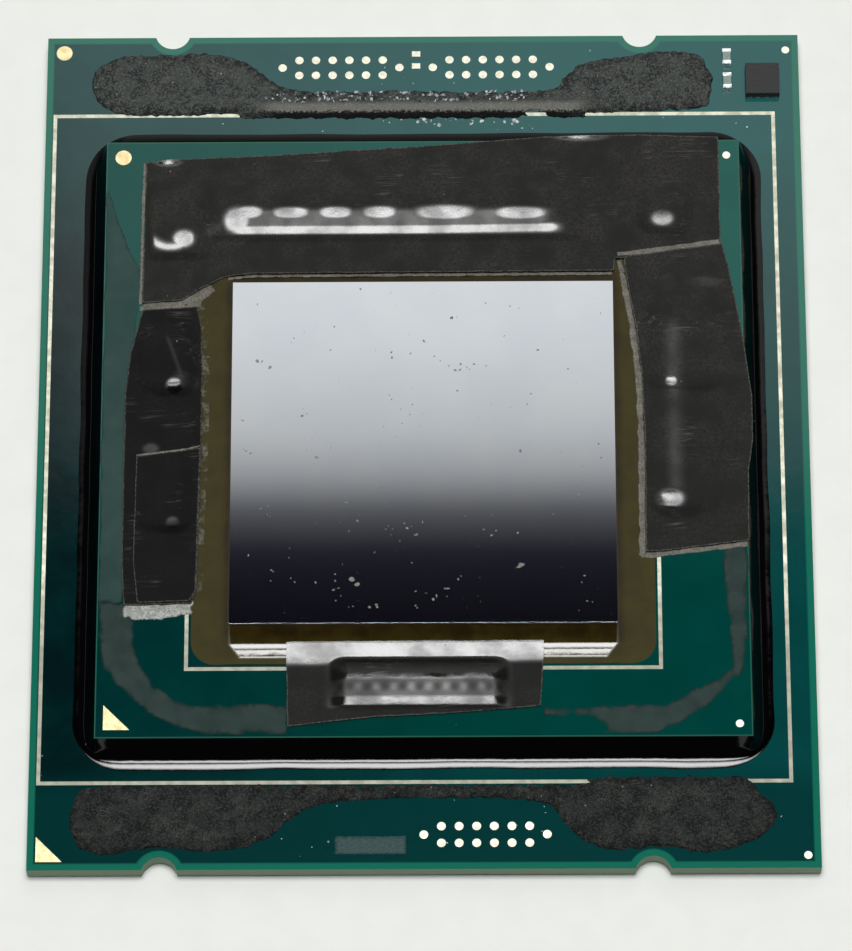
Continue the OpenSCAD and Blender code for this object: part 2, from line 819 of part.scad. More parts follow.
package_board();
lid_line();
rear_test_pads();
front_test_pads();
board_dots();
board_triangle();
rear_sealant();
front_sealant();
solder_balls();
carrier_underfill();
carrier_board();
carrier_dots();
carrier_triangle();
die_line();
die_underfill();
silicon_die();
rear_capacitors();
rear_capacitor_ends();
left_capacitors();
left_capacitor_ends();
right_capacitors();
right_capacitor_ends();
front_capacitors();
front_capacitor_ends();
rear_tape();
right_tape();
left_lower_tape();
left_upper_tape();
front_tape();
identity_chip();
identity_chip_leads();
identity_capacitors();
identity_capacitor_ends();
rear_lands();
front_lands();
left_lands();
right_lands();
land_side_capacitors();
land_side_capacitor_ends();
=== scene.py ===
# A lidless processor package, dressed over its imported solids. Metres, in the frame of the solids.
import math

import bmesh
import bpy
import numpy as np
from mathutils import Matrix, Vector, noise
from mathutils.geometry import delaunay_2d_cdt


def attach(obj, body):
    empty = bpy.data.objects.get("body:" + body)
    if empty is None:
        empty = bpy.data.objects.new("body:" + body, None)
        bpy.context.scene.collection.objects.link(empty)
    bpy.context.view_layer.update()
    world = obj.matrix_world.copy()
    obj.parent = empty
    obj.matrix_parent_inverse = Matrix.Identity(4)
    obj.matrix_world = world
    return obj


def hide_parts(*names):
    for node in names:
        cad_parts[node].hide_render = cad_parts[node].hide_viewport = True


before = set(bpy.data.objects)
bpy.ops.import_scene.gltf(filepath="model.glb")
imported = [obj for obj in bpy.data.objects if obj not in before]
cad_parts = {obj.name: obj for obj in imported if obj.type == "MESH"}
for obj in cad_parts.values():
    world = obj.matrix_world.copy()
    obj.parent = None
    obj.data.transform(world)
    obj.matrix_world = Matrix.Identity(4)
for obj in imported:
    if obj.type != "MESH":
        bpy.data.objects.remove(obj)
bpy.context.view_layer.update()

# Package board: a glass-fibre laminate with a dark blue-green solder mask, milled to size with four
# half-round key notches. The mask is paler where no copper lies under it, along the edge.
MM = 0.001
BOARD_HALF_W, BOARD_HALF_L = 22.5, 26.25
BOARD_Z, BOARD_TOP, PLY_T = 0.3, 1.3, 0.2
NOTCHES = [(-15, 26.55, 1.05), (13, 26.55, 1.05)]


def tint(red, green, blue):
    """A colour given as it shows on a screen, for a shader socket."""
    shown = [v / 255 for v in (red, green, blue)]
    return [v / 12.92 if v < 0.04045 else ((v + 0.055) / 1.055) ** 2.4 for v in shown] + [1]


def add(tree, kind, sources=None, **settings):
    """A new node, with its settings and what goes into its sockets."""
    made = tree.nodes.new(kind)
    for name, value in settings.items():
        setattr(made, name, value)
    for socket, source in (sources or {}).items():
        if isinstance(source, bpy.types.NodeSocket):
            tree.links.new(source, made.inputs[socket])
        else:
            made.inputs[socket].default_value = source
    return made


def calc(operation, *values, clamp=False):
    """What a math node makes of sockets and numbers."""
    tree = next(v.id_data for v in values if isinstance(v, bpy.types.NodeSocket))
    sources = dict(enumerate(values))
    return add(tree, "ShaderNodeMath", sources, operation=operation, use_clamp=clamp).outputs[0]


def times(first, second):
    return calc("MULTIPLY", first, second)


def scaled(value, by, plus):
    return calc("MULTIPLY_ADD", value, by, plus)


def fade(value, start, end, low=0.0, high=1.0):
    """Runs smoothly from low at start to high at end."""
    sources = {0: value, 1: start, 2: end, 3: low, 4: high}
    return add(value.id_data, "ShaderNodeMapRange", sources, interpolation_type="SMOOTHSTEP").outputs[0]


def mix(share, *colours):
    """Two colours mixed, each a socket, values of light or three screen values."""
    first, second = (tint(*c) if isinstance(c, tuple) and len(c) == 3 else c for c in colours)
    sources = {0: share, 6: first, 7: second}
    return add(share.id_data, "ShaderNodeMix", sources, data_type="RGBA").outputs[2]


def parts_of(tree, kind, output):
    """The three parts of a vector that a new node gives."""
    return add(tree, "ShaderNodeSeparateXYZ", {0: add(tree, kind).outputs[output]}).outputs


def place_in(tree):
    """Where the shaded point lies, in millimetres."""
    metres = parts_of(tree, "ShaderNodeTexCoord", "Object")
    return [times(part, 1 / MM) for part in metres]


def new_surface(name, gloss=0.5, metallic=0):
    """A new material, its node tree and its shader."""
    material = bpy.data.materials.new(name)
    material.use_nodes = True
    shader = material.node_tree.nodes["Principled BSDF"]
    shader.inputs["Specular IOR Level"].default_value = gloss
    shader.inputs["Metallic"].default_value = metallic
    return material, material.node_tree, shader


def feed(shader, height=None, depth=0.0, **sources):
    """Links colours and values to the shader, and a height of that depth in millimetres to its normal."""
    tree = shader.id_data
    for socket, source in sources.items():
        tree.links.new(source, shader.inputs[socket.replace("_", " ").title()])
    if height is not None:
        bump = add(tree, "ShaderNodeBump", {"Height": height, "Distance": depth * MM})
        tree.links.new(bump.outputs[0], shader.inputs["Normal"])


def new_group(name, **inputs):
    """A shader node group, its number inputs, the place and scale of a texture by the first of them, and
    the socket for its result."""
    group = bpy.data.node_groups.new(name, "ShaderNodeTree")
    for label, value in inputs.items():
        socket = group.interface.new_socket(label, in_out="INPUT", socket_type="NodeSocketFloat")
        socket.default_value = value
    group.interface.new_socket("Value", in_out="OUTPUT", socket_type="NodeSocketFloat")
    given = group.nodes.new("NodeGroupInput").outputs
    place = add(group, "ShaderNodeTexCoord").outputs["Object"]
    at = {"Vector": place, "Scale": times(given[0], 1 / MM)}
    return group, given, at, group.nodes.new("NodeGroupOutput").inputs[0]


def use(tree, group, **values):
    return add(tree, "ShaderNodeGroup", values, node_tree=group).outputs[0]


# Cloudy change of tone, in patches of about the given size.
mottle, given, at, out = new_group("mottle", per_mm=1, detail=4)
cloud = add(mottle, "ShaderNodeTexNoise", {**at, "Detail": given[1]})
mottle.links.new(fade(cloud.outputs[0], 0.3, 0.7), out)


def mottled(tree, per_mm, detail):
    return use(tree, mottle, per_mm=per_mm, detail=detail)


# Specks of dust: one in some of the cells of a loose grid.
specks, given, at, out = new_group("specks", per_mm=1, share=0.1, size=0.1)
cells = add(specks, "ShaderNodeTexVoronoi", at)
chosen = add(specks, "ShaderNodeSeparateColor", {0: cells.outputs["Color"]}).outputs
picked = calc("LESS_THAN", chosen[0], given[1])
near = calc("LESS_THAN", cells.outputs["Distance"], times(given[2], calc("ADD", chosen[1], 0.4)))
specks.links.new(times(picked, near), out)

# Fine broken scratches or fibres that run along one direction.
scratches, given, at, out = new_group("scratches", per_mm=4, turn=0, share=0.5, length=28)
turn = add(scratches, "ShaderNodeCombineXYZ", {2: given[1]}).outputs[0]
drawn = add(scratches, "ShaderNodeCombineXYZ", {0: given[3], 1: 1.0, 2: 1.0}).outputs[0]
turned = add(scratches, "ShaderNodeMapping", {0: at["Vector"], 2: turn, 3: drawn}, vector_type="TEXTURE")
lines = add(scratches, "ShaderNodeTexNoise", {**at, "Vector": turned.outputs[0], "Detail": 2})
thin = fade(calc("ABSOLUTE", calc("SUBTRACT", lines.outputs[0], 0.5)), 0.035, 0.0)
gaps = add(scratches, "ShaderNodeTexNoise", {**at, "Scale": times(at["Scale"], 0.16), "Detail": 2})
kept = fade(calc("ADD", gaps.outputs[0], given[2]), 0.9, 1.15)
scratches.links.new(times(thin, kept), out)


def solder_mask(name, half_w, half_l, notches, border, gloss, copper, deep, over_copper, pale, laminate):
    """Mask over a board's faces, lighter over the copper planes to the right and rear and palest along
    the edge, with bare laminate on the sides."""
    material, tree, shader = new_surface(name, gloss=gloss)
    x, y, z = place_in(tree)
    along = calc("ABSOLUTE", y)
    rim = calc("MINIMUM", calc("SUBTRACT", half_w, calc("ABSOLUTE", x)), calc("SUBTRACT", half_l, along))
    folded = add(tree, "ShaderNodeCombineXYZ", {0: x, 1: along}).outputs[0]
    for notch_x, notch_y, notch_r in notches:
        sources = {0: folded, 1: (notch_x, notch_y, 0)}
        apart = add(tree, "ShaderNodeVectorMath", sources, operation="DISTANCE").outputs["Value"]
        rim = calc("MINIMUM", rim, calc("SUBTRACT", apart, notch_r))
    clouds = mottled(tree, 0.35, 5)
    to_right, to_rear, start, end, in_front = copper
    planes = times(fade(x, -half_w, 0.5 * half_w), to_right)
    planes = scaled(fade(y, start * half_l, end * half_l), to_rear, planes)
    planes = calc("MULTIPLY_ADD", clouds, 0.12, planes, clamp=True)
    front = fade(y, -0.75 * half_l, -0.84 * half_l, 0, in_front)
    planes = scaled(front, calc("SUBTRACT", 0.33, planes), planes)
    face = mix(fade(rim, 1.1 * border, 0.75 * border), mix(planes, deep, over_copper), pale)
    dust = use(tree, specks, per_mm=1.1, share=0.07, size=0.05)
    face = mix(times(dust, 0.5), face, (190, 200, 190))
    for turn in (0.3, 1.45):
        scuff = use(tree, scratches, per_mm=1.6, turn=turn, share=0.16, length=12)
        face = mix(times(scuff, 0.16), face, (160, 172, 164))
    facing = parts_of(tree, "ShaderNodeNewGeometry", "Normal")[2]
    side = calc("LESS_THAN", calc("ABSOLUTE", facing), 0.5)
    plies = calc("SINE", times(z, 2 * math.pi / PLY_T))
    bare = mix(fade(plies, -1, 1), laminate, [0.75 * v for v in tint(*laminate)[:3]] + [1])
    grain = mottled(tree, 6, 3)
    rough = calc("MAXIMUM", scaled(grain, 0.015, 0.045), times(side, 0.7))
    feed(shader, clouds, 0.001, base_color=mix(side, face, bare), roughness=rough)
    return material


def dress(material, *names):
    """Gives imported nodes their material."""
    for name in names:
        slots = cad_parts[name].data.materials
        slots.clear()
        slots.append(material)


package_mask = solder_mask(
    "package_mask", BOARD_HALF_W, BOARD_HALF_L, NOTCHES, 0.42, 0.8, (0.52, 0.5, 0.3, 0.95, 0.8),
    (0, 23, 25), (6, 84, 82), (22, 108, 88), (118, 142, 112),
)
dress(package_mask, "package_board")

# Gold marks: the line that frames the lid's seat, the test pads, the alignment dots and the corner
# triangle, all plated flush with the board's face and a little dulled by handling.
GOLD_BRIGHT, GOLD_WORN = (242, 226, 182), (230, 212, 164)


def plain_surface(name, per_mm, detail, first, second, rough, rougher, depth=0.0, **fixed):
    """A surface whose tone and roughness follow one mottling, and its face too if it has a depth."""
    material, tree, shader = new_surface(name, **fixed)
    grain = mottled(tree, per_mm, detail)
    feed(shader, grain if depth else None, depth, base_color=mix(grain, first, second),
         roughness=scaled(grain, rougher, rough))
    return material


gold_plate, tree, shader = new_surface("gold_plate", metallic=1)
worn = mottled(tree, 3, 4)
to_right = fade(place_in(tree)[0], -10, 10)
plated = mix(to_right, mix(worn, GOLD_BRIGHT, GOLD_WORN), (238, 236, 222))
grain = mottled(tree, 14, 2)
feed(shader, grain, 0.002, base_color=plated, roughness=scaled(worn, 0.1, 0.58))
dress(gold_plate, "board_dots", "board_triangle")
pale_plate = plain_surface(
    "pale_plate", 5, 3, (232, 231, 216), (220, 218, 200), 0.58, 0.1, 0.002, metallic=1)
dress(pale_plate, "rear_test_pads", "front_test_pads")
dull_plate, tree, shader = new_surface("dull_plate", metallic=1)
worn = mottled(tree, 2, 5)
to_front = fade(place_in(tree)[1], -8, -14)
plated = mix(to_front, mix(worn, (214, 214, 198), (190, 190, 172)), (160, 160, 146))
feed(shader, worn, 0.002, base_color=plated, roughness=scaled(worn, 0.1, 0.6))
dress(dull_plate, "lid_line")

# Contact lands: gold-plated squares on the underside, in staggered rows round a bare middle. Each
# is a low pad with sloping sides, and a socket's spring would wipe its face.
LAND_W, LAND_T, LAND_TAPER = 0.6, 0.02, 0.93
LAND_PITCH, LAND_ROW, LAND_SHIFT, LAND_EDGE, BARE_W = 1.016, 0.88, 0.25, 1.1, 18


def land_centres():
    columns = int((BOARD_HALF_W - LAND_EDGE) / LAND_PITCH)
    rows = int((BOARD_HALF_L - LAND_EDGE) / LAND_ROW)
    for row in range(-rows, rows + 1):
        for column in range(-columns, columns + 1):
            x = (column + (LAND_SHIFT if row % 2 == 0 else -LAND_SHIFT)) * LAND_PITCH
            y = row * LAND_ROW
            at_notch = any(math.hypot(x - nx, abs(y) - ny) < r + LAND_EDGE for nx, ny, r in NOTCHES)
            in_bare = max(abs(x), abs(y)) < (BARE_W + LAND_W) / 2
            if not at_notch and not in_bare and abs(x) < BOARD_HALF_W - LAND_EDGE:
                yield x, y


def new_rule(name, **inputs):
    """A geometry node tree, its inputs (a mesh, those named and a finish) and the socket for its result."""
    tree = bpy.data.node_groups.new(name, "GeometryNodeTree")
    for label, kind in {"Geometry": "Geometry", **inputs, "Finish": "Material"}.items():
        tree.interface.new_socket(label, in_out="INPUT", socket_type="NodeSocket" + kind)
    tree.interface.new_socket("Geometry", in_out="OUTPUT", socket_type="NodeSocketGeometry")
    return tree, tree.nodes.new("NodeGroupInput").outputs, tree.nodes.new("NodeGroupOutput").inputs[0]


def copies(tree, points, shape, sources=None):
    """Real copies of a shape on points."""
    sources = {"Points": points, "Instance": shape.outputs[0], **(sources or {})}
    set_out = add(tree, "GeometryNodeInstanceOnPoints", sources)
    return add(tree, "GeometryNodeRealizeInstances", {0: set_out.outputs[0]}).outputs[0]


def end_rule(tree, given, shape, out):
    """Sends a rule's shape out with its finish."""
    painted = add(tree, "GeometryNodeSetMaterial", {"Geometry": shape, "Material": given["Finish"]})
    tree.links.new(painted.outputs[0], out)


def new_object(name, data):
    made = bpy.data.objects.new(name, data)
    bpy.context.scene.collection.objects.link(made)
    return made


def made_by_rule(name, mesh, tree, **values):
    """Runs the rule on a mesh and keeps the result as a plain mesh."""
    seed = new_object(name + "_seed", mesh)
    rule = seed.modifiers.new("rule", "NODES")
    rule.node_group = tree
    for item in tree.interface.items_tree:
        if item.in_out == "INPUT" and item.name in values:
            rule[item.identifier] = values[item.name]
    settled = seed.evaluated_get(bpy.context.evaluated_depsgraph_get())
    result = bpy.data.meshes.new_from_object(settled)
    bpy.data.objects.remove(seed)
    result.name = name
    return result


def place_piece(name, mesh, slot, *replaced):
    """A finished mesh as a piece of the part."""
    piece = new_object(name, mesh)
    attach(piece, "root")
    if replaced:
        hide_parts(*replaced)
    return piece


def new_mesh(name, vertices, faces, material, sharp=None):
    """A smooth mesh from vertices in millimetres, with edges over the given angle kept sharp."""
    mesh = bpy.data.meshes.new(name)
    mesh.from_pydata((np.asarray(vertices, float) * MM).tolist(), [], faces)
    mesh.materials.append(material)
    mesh.polygons.foreach_set("use_smooth", [True] * len(mesh.polygons))
    if sharp is not None:
        mesh.set_sharp_from_angle(angle=math.radians(sharp))
    mesh.update()
    return mesh


pads, given, out = new_rule("land_pads", Width="Float", Thickness="Float", Taper="Float")
size = add(pads, "ShaderNodeCombineXYZ", {0: given["Width"], 1: given["Width"], 2: given["Thickness"]})
pad = add(pads, "GeometryNodeMeshCube", {"Size": size.outputs[0]})
downward = calc("LESS_THAN", parts_of(pads, "GeometryNodeInputNormal", 0)[2], -0.5)
sources = {"Geometry": pad.outputs[0], "Selection": downward, "Scale": given["Taper"]}
tapered = add(pads, "GeometryNodeScaleElements", sources, domain="FACE")
end_rule(pads, given, copies(pads, given["Geometry"], tapered), out)

land_gold = plain_surface("land_gold", 3, 4, GOLD_BRIGHT, GOLD_WORN, 0.5, 0.1, 0.002, metallic=1)
land_z = BOARD_Z - LAND_T / 2
centres = new_mesh("land_centres", [(x, y, land_z) for x, y in land_centres()], [], land_gold)
lands = made_by_rule("contact_lands", centres, pads, Width=LAND_W * MM, Thickness=LAND_T * MM,
                     Taper=LAND_TAPER, Finish=land_gold)
place_piece("contact_lands", lands, "gold", "rear_lands", "front_lands", "left_lands", "right_lands")

# Lid sealant: black silicone rubber that held the lid, torn through when the lid came off. It is
# left as two ragged wings with a thin strip between them, front and rear, with a rough fuzzy face.
SEAT_IN, SEAT_WIDE, SEALANT_T = 21.1, 4.15, 0.25
SEALANT_STEP = 0.1
# Outlines of the wings: distance from the board's side, and share of the seat's width.
REAR_WINGS = (
    [(22, -0.06), (14, -0.06), (11.7, -0.055), (10.9, 0.01), (5, 0), (3.2, 0.2), (2.7, 0.45), (3.2, 0.8),
     (5, 0.94), (7.5, 0.95), (9.8, 0.98), (12, 0.82), (13.5, 0.52), (15.5, 0.37), (22, 0.36)],
    [(15.5, 0.36), (14, 0.57), (12.8, 0.8), (10, 0.92), (8, 0.98), (6.2, 0.95), (5.3, 0.62), (5.3, 0.28),
     (6.3, 0.06), (12.2, 0.01), (12.8, -0.06), (14.8, -0.06), (15.3, 0.03), (16.3, 0.03), (16.8, -0.06)],
)
FRONT_WINGS = (
    [(22, 0.04), (14, 0.03), (5, 0.03), (3, 0.1), (2.4, 0.4), (2.6, 0.72), (3.3, 0.96), (4.8, 1.02),
     (6.6, 0.94), (8.6, 0.94), (10.2, 1), (12.3, 0.92), (13.9, 0.75), (15.4, 0.44), (17.2, 0.28), (22, 0.22)],
    [(16.2, 0.27), (14.7, 0.52), (13.3, 0.86), (11.4, 0.97), (8.8, 0.92), (6.8, 1.02), (4.4, 0.9),
     (2.8, 0.66), (2.6, 0.4), (3.6, 0.1), (4.5, -0.06), (9, -0.07), (13, -0.06), (13.8, 0.03)],
)


def smooth_outline(points, steps=8):
    """A smooth closed curve through the points."""
    p = np.asarray(points, float)
    a, c, d = np.roll(p, 1, 0), np.roll(p, -1, 0), np.roll(p, -2, 0)
    rows = []
    for t in np.arange(steps) / steps:
        bent = (2 * a - 5 * p + 4 * c - d) * t**2 + (3 * p - a - 3 * c + d) * t**3
        rows.append(0.5 * (2 * p + (c - a) * t + bent))
    return np.stack(rows, 1).reshape(-1, 2)


def ripple(points, per_mm, seed, octaves=1):
    """Smooth noise from -1 to 1 at each point."""
    rows = []
    for p in np.asarray(points, float):
        at = Vector((p[0] * per_mm, p[1] * per_mm, 7.3 * seed))
        rows.append(sum(noise.noise(at * 2**k) / 2**k for k in range(octaves)))
    return np.array(rows)


def even_line(points, step, closed):
    """Points in even steps along a line."""
    run = np.concatenate([[0], np.cumsum(np.hypot(*np.diff(points, axis=0).T))])
    at = np.linspace(0, run[-1], max(3, int(run[-1] / step)), endpoint=not closed)
    return np.stack([np.interp(at, run, points[:, k]) for k in (0, 1)], 1)


def rightward(ahead):
    """Unit vectors to the right of the given directions."""
    return np.stack([ahead[:, 1], -ahead[:, 0]], 1) / np.hypot(*ahead.T)[:, None]


def ragged(outline, step, amount, per_mm, seed):
    """A closed outline in even steps, pushed in and out a little, anticlockwise."""
    outline = np.array(outline, float)
    even = even_line(np.vstack([outline, outline[:1]]), step, True)
    x, y = even.T
    if np.sum(x * np.roll(y, -1) - np.roll(x, -1) * y) < 0:
        even = even[::-1]
    outward = rightward(np.roll(even, -1, 0) - np.roll(even, 1, 0))
    return even + outward * (amount * ripple(even, per_mm, seed, 2))[:, None]


def edge_gap(points, outline):
    """Each point's distance from the outline, below zero outside it."""
    best = np.full(len(points), 1e9)
    inside = np.zeros(len(points), bool)
    x, y = points.T
    for (ax, ay), (bx, by) in zip(outline, np.roll(outline, -1, 0)):
        dx, dy = bx - ax, by - ay
        t = np.clip(((x - ax) * dx + (y - ay) * dy) / (dx * dx + dy * dy + 1e-12), 0, 1)
        best = np.minimum(best, np.hypot(x - ax - t * dx, y - ay - t * dy))
        if dy:
            inside ^= ((ay > y) != (by > y)) & (x < ax + dx * (y - ay) / dy)
    return np.where(inside, best, -best)


def lattice(low, high, step):
    """Points of an even triangular grid over a rectangle."""
    columns = np.arange(low[0], high[0], step)
    rows = np.arange(low[1], high[1], step * 0.866)
    return np.array([(x + (j % 2) * step / 2, y) for j, y in enumerate(rows) for x in columns])


def keep(mesh, name, values):
    """Stores a number at each point of a mesh."""
    attribute = mesh.attributes.new(name, "FLOAT", "POINT")
    attribute.data.foreach_set("value", np.asarray(values, np.float32))


def stored(tree, name):
    """The number that a mesh stores under that name, for a shader."""
    return add(tree, "ShaderNodeAttribute", attribute_name=name).outputs["Fac"]


def sheet_solid(name, outline, step, top, bottom, material, sharp=None, fine=()):
    """A closed sheet of that outline between two faces, each a height or a function of place and edge
    distance. Its mesh is twice as dense in the fine rectangles, and stores the edge distance in
    millimetres as edge."""
    grid = lattice(outline.min(0), outline.max(0), step)
    for low, high in fine:
        outside = np.any((grid < low) | (grid > high), 1)
        grid = np.vstack([grid[outside], lattice(low, high, step / 2)])
    grid = grid[edge_gap(grid, outline) > 0.55 * step]
    flat = np.vstack([outline, grid])
    loop = [(i, (i + 1) % len(outline)) for i in range(len(outline))]
    flat, _, faces, *_ = delaunay_2d_cdt([Vector(p) for p in flat], loop, [], 1, 1e-5)
    flat = np.array([tuple(p) for p in flat])
    gap = np.maximum(edge_gap(flat, outline), 0)
    heights = [face(flat, gap) if callable(face) else np.full(len(flat), face) for face in (top, bottom)]
    count = len(flat)
    sides = {}
    for face in faces:
        for a, b in zip(face, face[1:] + face[:1]):
            sides[a, b] = (a + count, b + count, b, a)
    walls = [wall for (a, b), wall in sides.items() if (b, a) not in sides]
    under = [[v + count for v in reversed(face)] for face in faces]
    vertices = np.column_stack([np.vstack([flat, flat]), np.concatenate(heights)])
    mesh = new_mesh(name, vertices, [*faces, *under, *walls], material, sharp)
    keep(mesh, "edge", np.concatenate([gap, gap]))
    return mesh


torn_rubber, tree, shader = new_surface("torn_rubber", gloss=0.25)
x, y, _ = place_in(tree)
fuzz = mottled(tree, 8, 6)
patches = fade(mottled(tree, 1.2, 4), 0.36, 0.64)
to_rear = fade(y, -20, 20)
worn = mix(patches, mix(to_rear, (18, 21, 20), (44, 47, 45)),
           mix(to_rear, (36, 40, 38), (66, 70, 67)))
worn = mix(fade(fuzz, 0.34, 0.66, 0, 0.6), worn, mix(to_rear, (60, 65, 62), (96, 102, 98)))
for turn in (0.4, 1.5, 2.6):
    fibre = use(tree, scratches, per_mm=6, turn=turn, share=0.5, length=4)
    worn = mix(times(fibre, 0.22), worn, (112, 110, 104))
crumbs = use(tree, specks, per_mm=2.4, share=0.14, size=0.1)
worn = mix(times(crumbs, 0.6), worn, (178, 178, 174))
# Near-black patches near the rubber's edge: torn notches, and painted shade along the torn edges.
notches_and_shade = fade(mottled(tree, 3.2, 5), 0.5, 0.66, 0, 0.6)
worn = mix(times(notches_and_shade, fade(stored(tree, "edge"), 0.9, 0.1)), worn, (8, 8, 8))
strip = times(calc("GREATER_THAN", y, 0), fade(calc("ABSOLUTE", x), 10.5, 8.5))
across = calc("SUBTRACT", y, SEAT_IN - 0.2)
across = scaled(calc("SUBTRACT", fuzz, 0.5), 0.16, across)
band = times(fade(across, 0.32, 0.44), fade(across, 1.1, 0.7))
worn = mix(times(times(strip, band), 0.7), worn, (138, 137, 130))
# Painted shade: a near-black line along the front edge of the rear strip.
worn = mix(times(strip, fade(across, 0.34, 0.24)), worn, (8, 8, 9))
feed(shader, fuzz, 0.08, base_color=worn, roughness=scaled(fuzz, 0.25, 0.6))
FULL_TURN = 6.28


def by_chance(tree, given, low, high):
    """A number or vector drawn for each copy."""
    kind, first = ("FLOAT_VECTOR", 0) if isinstance(low, tuple) else ("FLOAT", 2)
    sources = {first: low, first + 1: high, "Seed": given["Seed"]}
    return add(tree, "FunctionNodeRandomValue", sources, data_type=kind).outputs[first // 2]


torn_bits, given, out = new_rule("torn_bits", Density="Float", Size="Float", Seed="Int")
sources = {"Mesh": given["Geometry"], "Density": given["Density"], "Seed": given["Seed"]}
strewn = add(torn_bits, "GeometryNodeDistributePointsOnFaces", sources)
crumb = add(torn_bits, "GeometryNodeMeshIcoSphere", {"Radius": given["Size"], "Subdivisions": 1})
sources = {
    "Rotation": by_chance(torn_bits, given, (-0.5, -0.5, 0), (0.5, 0.5, FULL_TURN)),
    "Scale": by_chance(torn_bits, given, (0.3, 0.3, 0.2), (1.3, 0.7, 0.6)),
}
end_rule(torn_bits, given, copies(torn_bits, strewn.outputs[0], crumb, sources), out)


def torn_sealant(name, wings, facing, seed):
    """One side's sealant. Facing is 1 at the rear and -1 at the front."""
    points = [(-BOARD_HALF_W + d, SEAT_IN + share * SEAT_WIDE) for d, share in wings[0]]
    points += [(BOARD_HALF_W - d, SEAT_IN + share * SEAT_WIDE) for d, share in wings[1]]
    outline = smooth_outline(np.array(points) * (1, facing))
    outline = ragged(outline, 0.8 * SEALANT_STEP, 0.13, 2.2, seed)

    def top(flat, gap):
        torn = 0.45 + 0.35 * ripple(flat, 0.8, seed + 1, 2) + 0.4 * ripple(flat, 3.2, seed + 2, 3)
        strip = np.clip((np.abs(flat[:, 0]) - 7) / 3, 0.55, 1)
        rise = 1 - np.exp(-gap / 0.16)
        return BOARD_TOP + 0.02 + SEALANT_T * rise * strip * np.clip(0.62 + 0.5 * torn, 0.3, 1.15)

    mesh = sheet_solid(name, outline, SEALANT_STEP, top, BOARD_TOP, torn_rubber)
    return place_piece(name, mesh, "sealant", name.replace("torn_", ""))


for side, wings, facing, seed in (("rear", REAR_WINGS, 1, 1), ("front", FRONT_WINGS, -1, 5)):
    sealant = torn_sealant(f"torn_{side}_sealant", wings, facing, seed)
    bits = made_by_rule(f"{side}_sealant_crumbs", sealant.data, torn_bits,
                        Density=3.0 / MM**2, Size=0.07 * MM, Seed=seed, Finish=torn_rubber)
    place_piece(f"{side}_sealant_crumbs", bits, "sealant")

glassy = plain_surface("glassy_bits", 4, 2, (16, 18, 24), (190, 194, 202), 0.15, 0.2, gloss=0.6)
corners = [(-11.4, 21.85, 1.42), (5.8, 21.9, 1.42), (7, 22.6, 1.36), (-11.6, 22.55, 1.36)]
torn_rim = new_mesh("torn_rim", corners, [(0, 1, 2, 3)], glassy)
bits = made_by_rule("torn_rim_bits", torn_rim, torn_bits,
                    Density=11 / MM**2, Size=0.18 * MM, Seed=8, Finish=glassy)
place_piece("torn_rim_bits", bits, "sealant")

# Solder joints: short tin columns that carry the upper board and its current, reflowed between the
# two boards and closed in by the black bead.
solder = plain_surface("solder", 5, 4, (196, 198, 200), (228, 229, 230), 0.3, 0.2, 0.01, metallic=1)
dress(solder, "solder_balls")

# Carrier board: the smaller green board that the die is bonded to, with its own gold dots, corner
# triangle and a gold line round the die.
CARRIER_HALF, CARRIER_Z, CARRIER_TOP = 18.75, 1.6, 2.45
carrier_mask = solder_mask(
    "carrier_mask", CARRIER_HALF, CARRIER_HALF, [], 0.08, 0.45, (0.3, 0.6, -0.3, 0.6, 0),
    (0, 45, 44), (0, 84, 74), (40, 92, 78), (92, 112, 90),
)
dress(carrier_mask, "carrier_board")
dress(gold_plate, "carrier_dots", "carrier_triangle")
dress(dull_plate, "die_line")

# Black bead: epoxy underfill that crept out from between the boards and set as a glossy hollow
# slope round the carrier, steep at its wall and flat at its foot.
BEAD_LIP, BEAD_RIM, BEAD_CORNER = 1.2, 2.4, 3.0
BEAD_LEFT, BEAD_RIGHT, BEAD_REAR, BEAD_FRONT = 1.3, 1.3, 1.05, 1.55


def slope_profile(places, slopes, height):
    """Heights by distance, from the given height down to zero, with slopes in those proportions."""
    at = np.linspace(0, places[-1], 600)
    steep = np.interp(at, places, slopes)
    fallen = np.concatenate([[0], np.cumsum((steep[1:] + steep[:-1]) / 2 * np.diff(at))])
    left = height * (1 - fallen / fallen[-1])
    return lambda distance: np.interp(distance, at, left)


def perimeter(low, high, corner, step=0.4, turns=16):
    """Points round a rectangle with round corners, anticlockwise."""
    points = []
    for sx, sy, start in ((1, -1, -90), (1, 1, 0), (-1, 1, 90), (-1, -1, 180)):
        middle = np.where(np.array([sx, sy]) > 0, np.array(high) - corner, np.array(low) + corner)
        for angle in np.radians(np.linspace(start, start + 90, turns + 1)):
            points.append(middle + corner * np.array([math.cos(angle), math.sin(angle)]))
    even = []
    for a, b in zip(points, points[1:] + points[:1]):
        parts = max(1, int(np.hypot(*(b - a)) / step))
        even += [a + (b - a) * k / parts for k in range(parts)]
    return np.array(even)


def lofted_ring(name, rows, material):
    """A closed solid through loops of equal length, joined in turn and back to the first."""
    number = np.arange(len(rows) * len(rows[0])).reshape(len(rows), -1)
    above = np.roll(number, -1, 0)
    faces = np.stack([number, np.roll(number, -1, 1), np.roll(above, -1, 1), above], 2).reshape(-1, 4)
    mesh = new_mesh(name, np.vstack(rows), faces.tolist(), material)
    work = bmesh.new()
    work.from_mesh(mesh)
    bmesh.ops.remove_doubles(work, verts=work.verts, dist=1e-3 * MM)
    bmesh.ops.dissolve_degenerate(work, edges=work.edges, dist=1e-3 * MM)
    bmesh.ops.recalc_face_normals(work, faces=work.faces)
    work.to_mesh(mesh)
    work.free()
    mesh.set_sharp_from_angle(angle=math.radians(50))
    return mesh


def at_height(loop, z):
    return np.column_stack([loop, np.full(len(loop), z)])


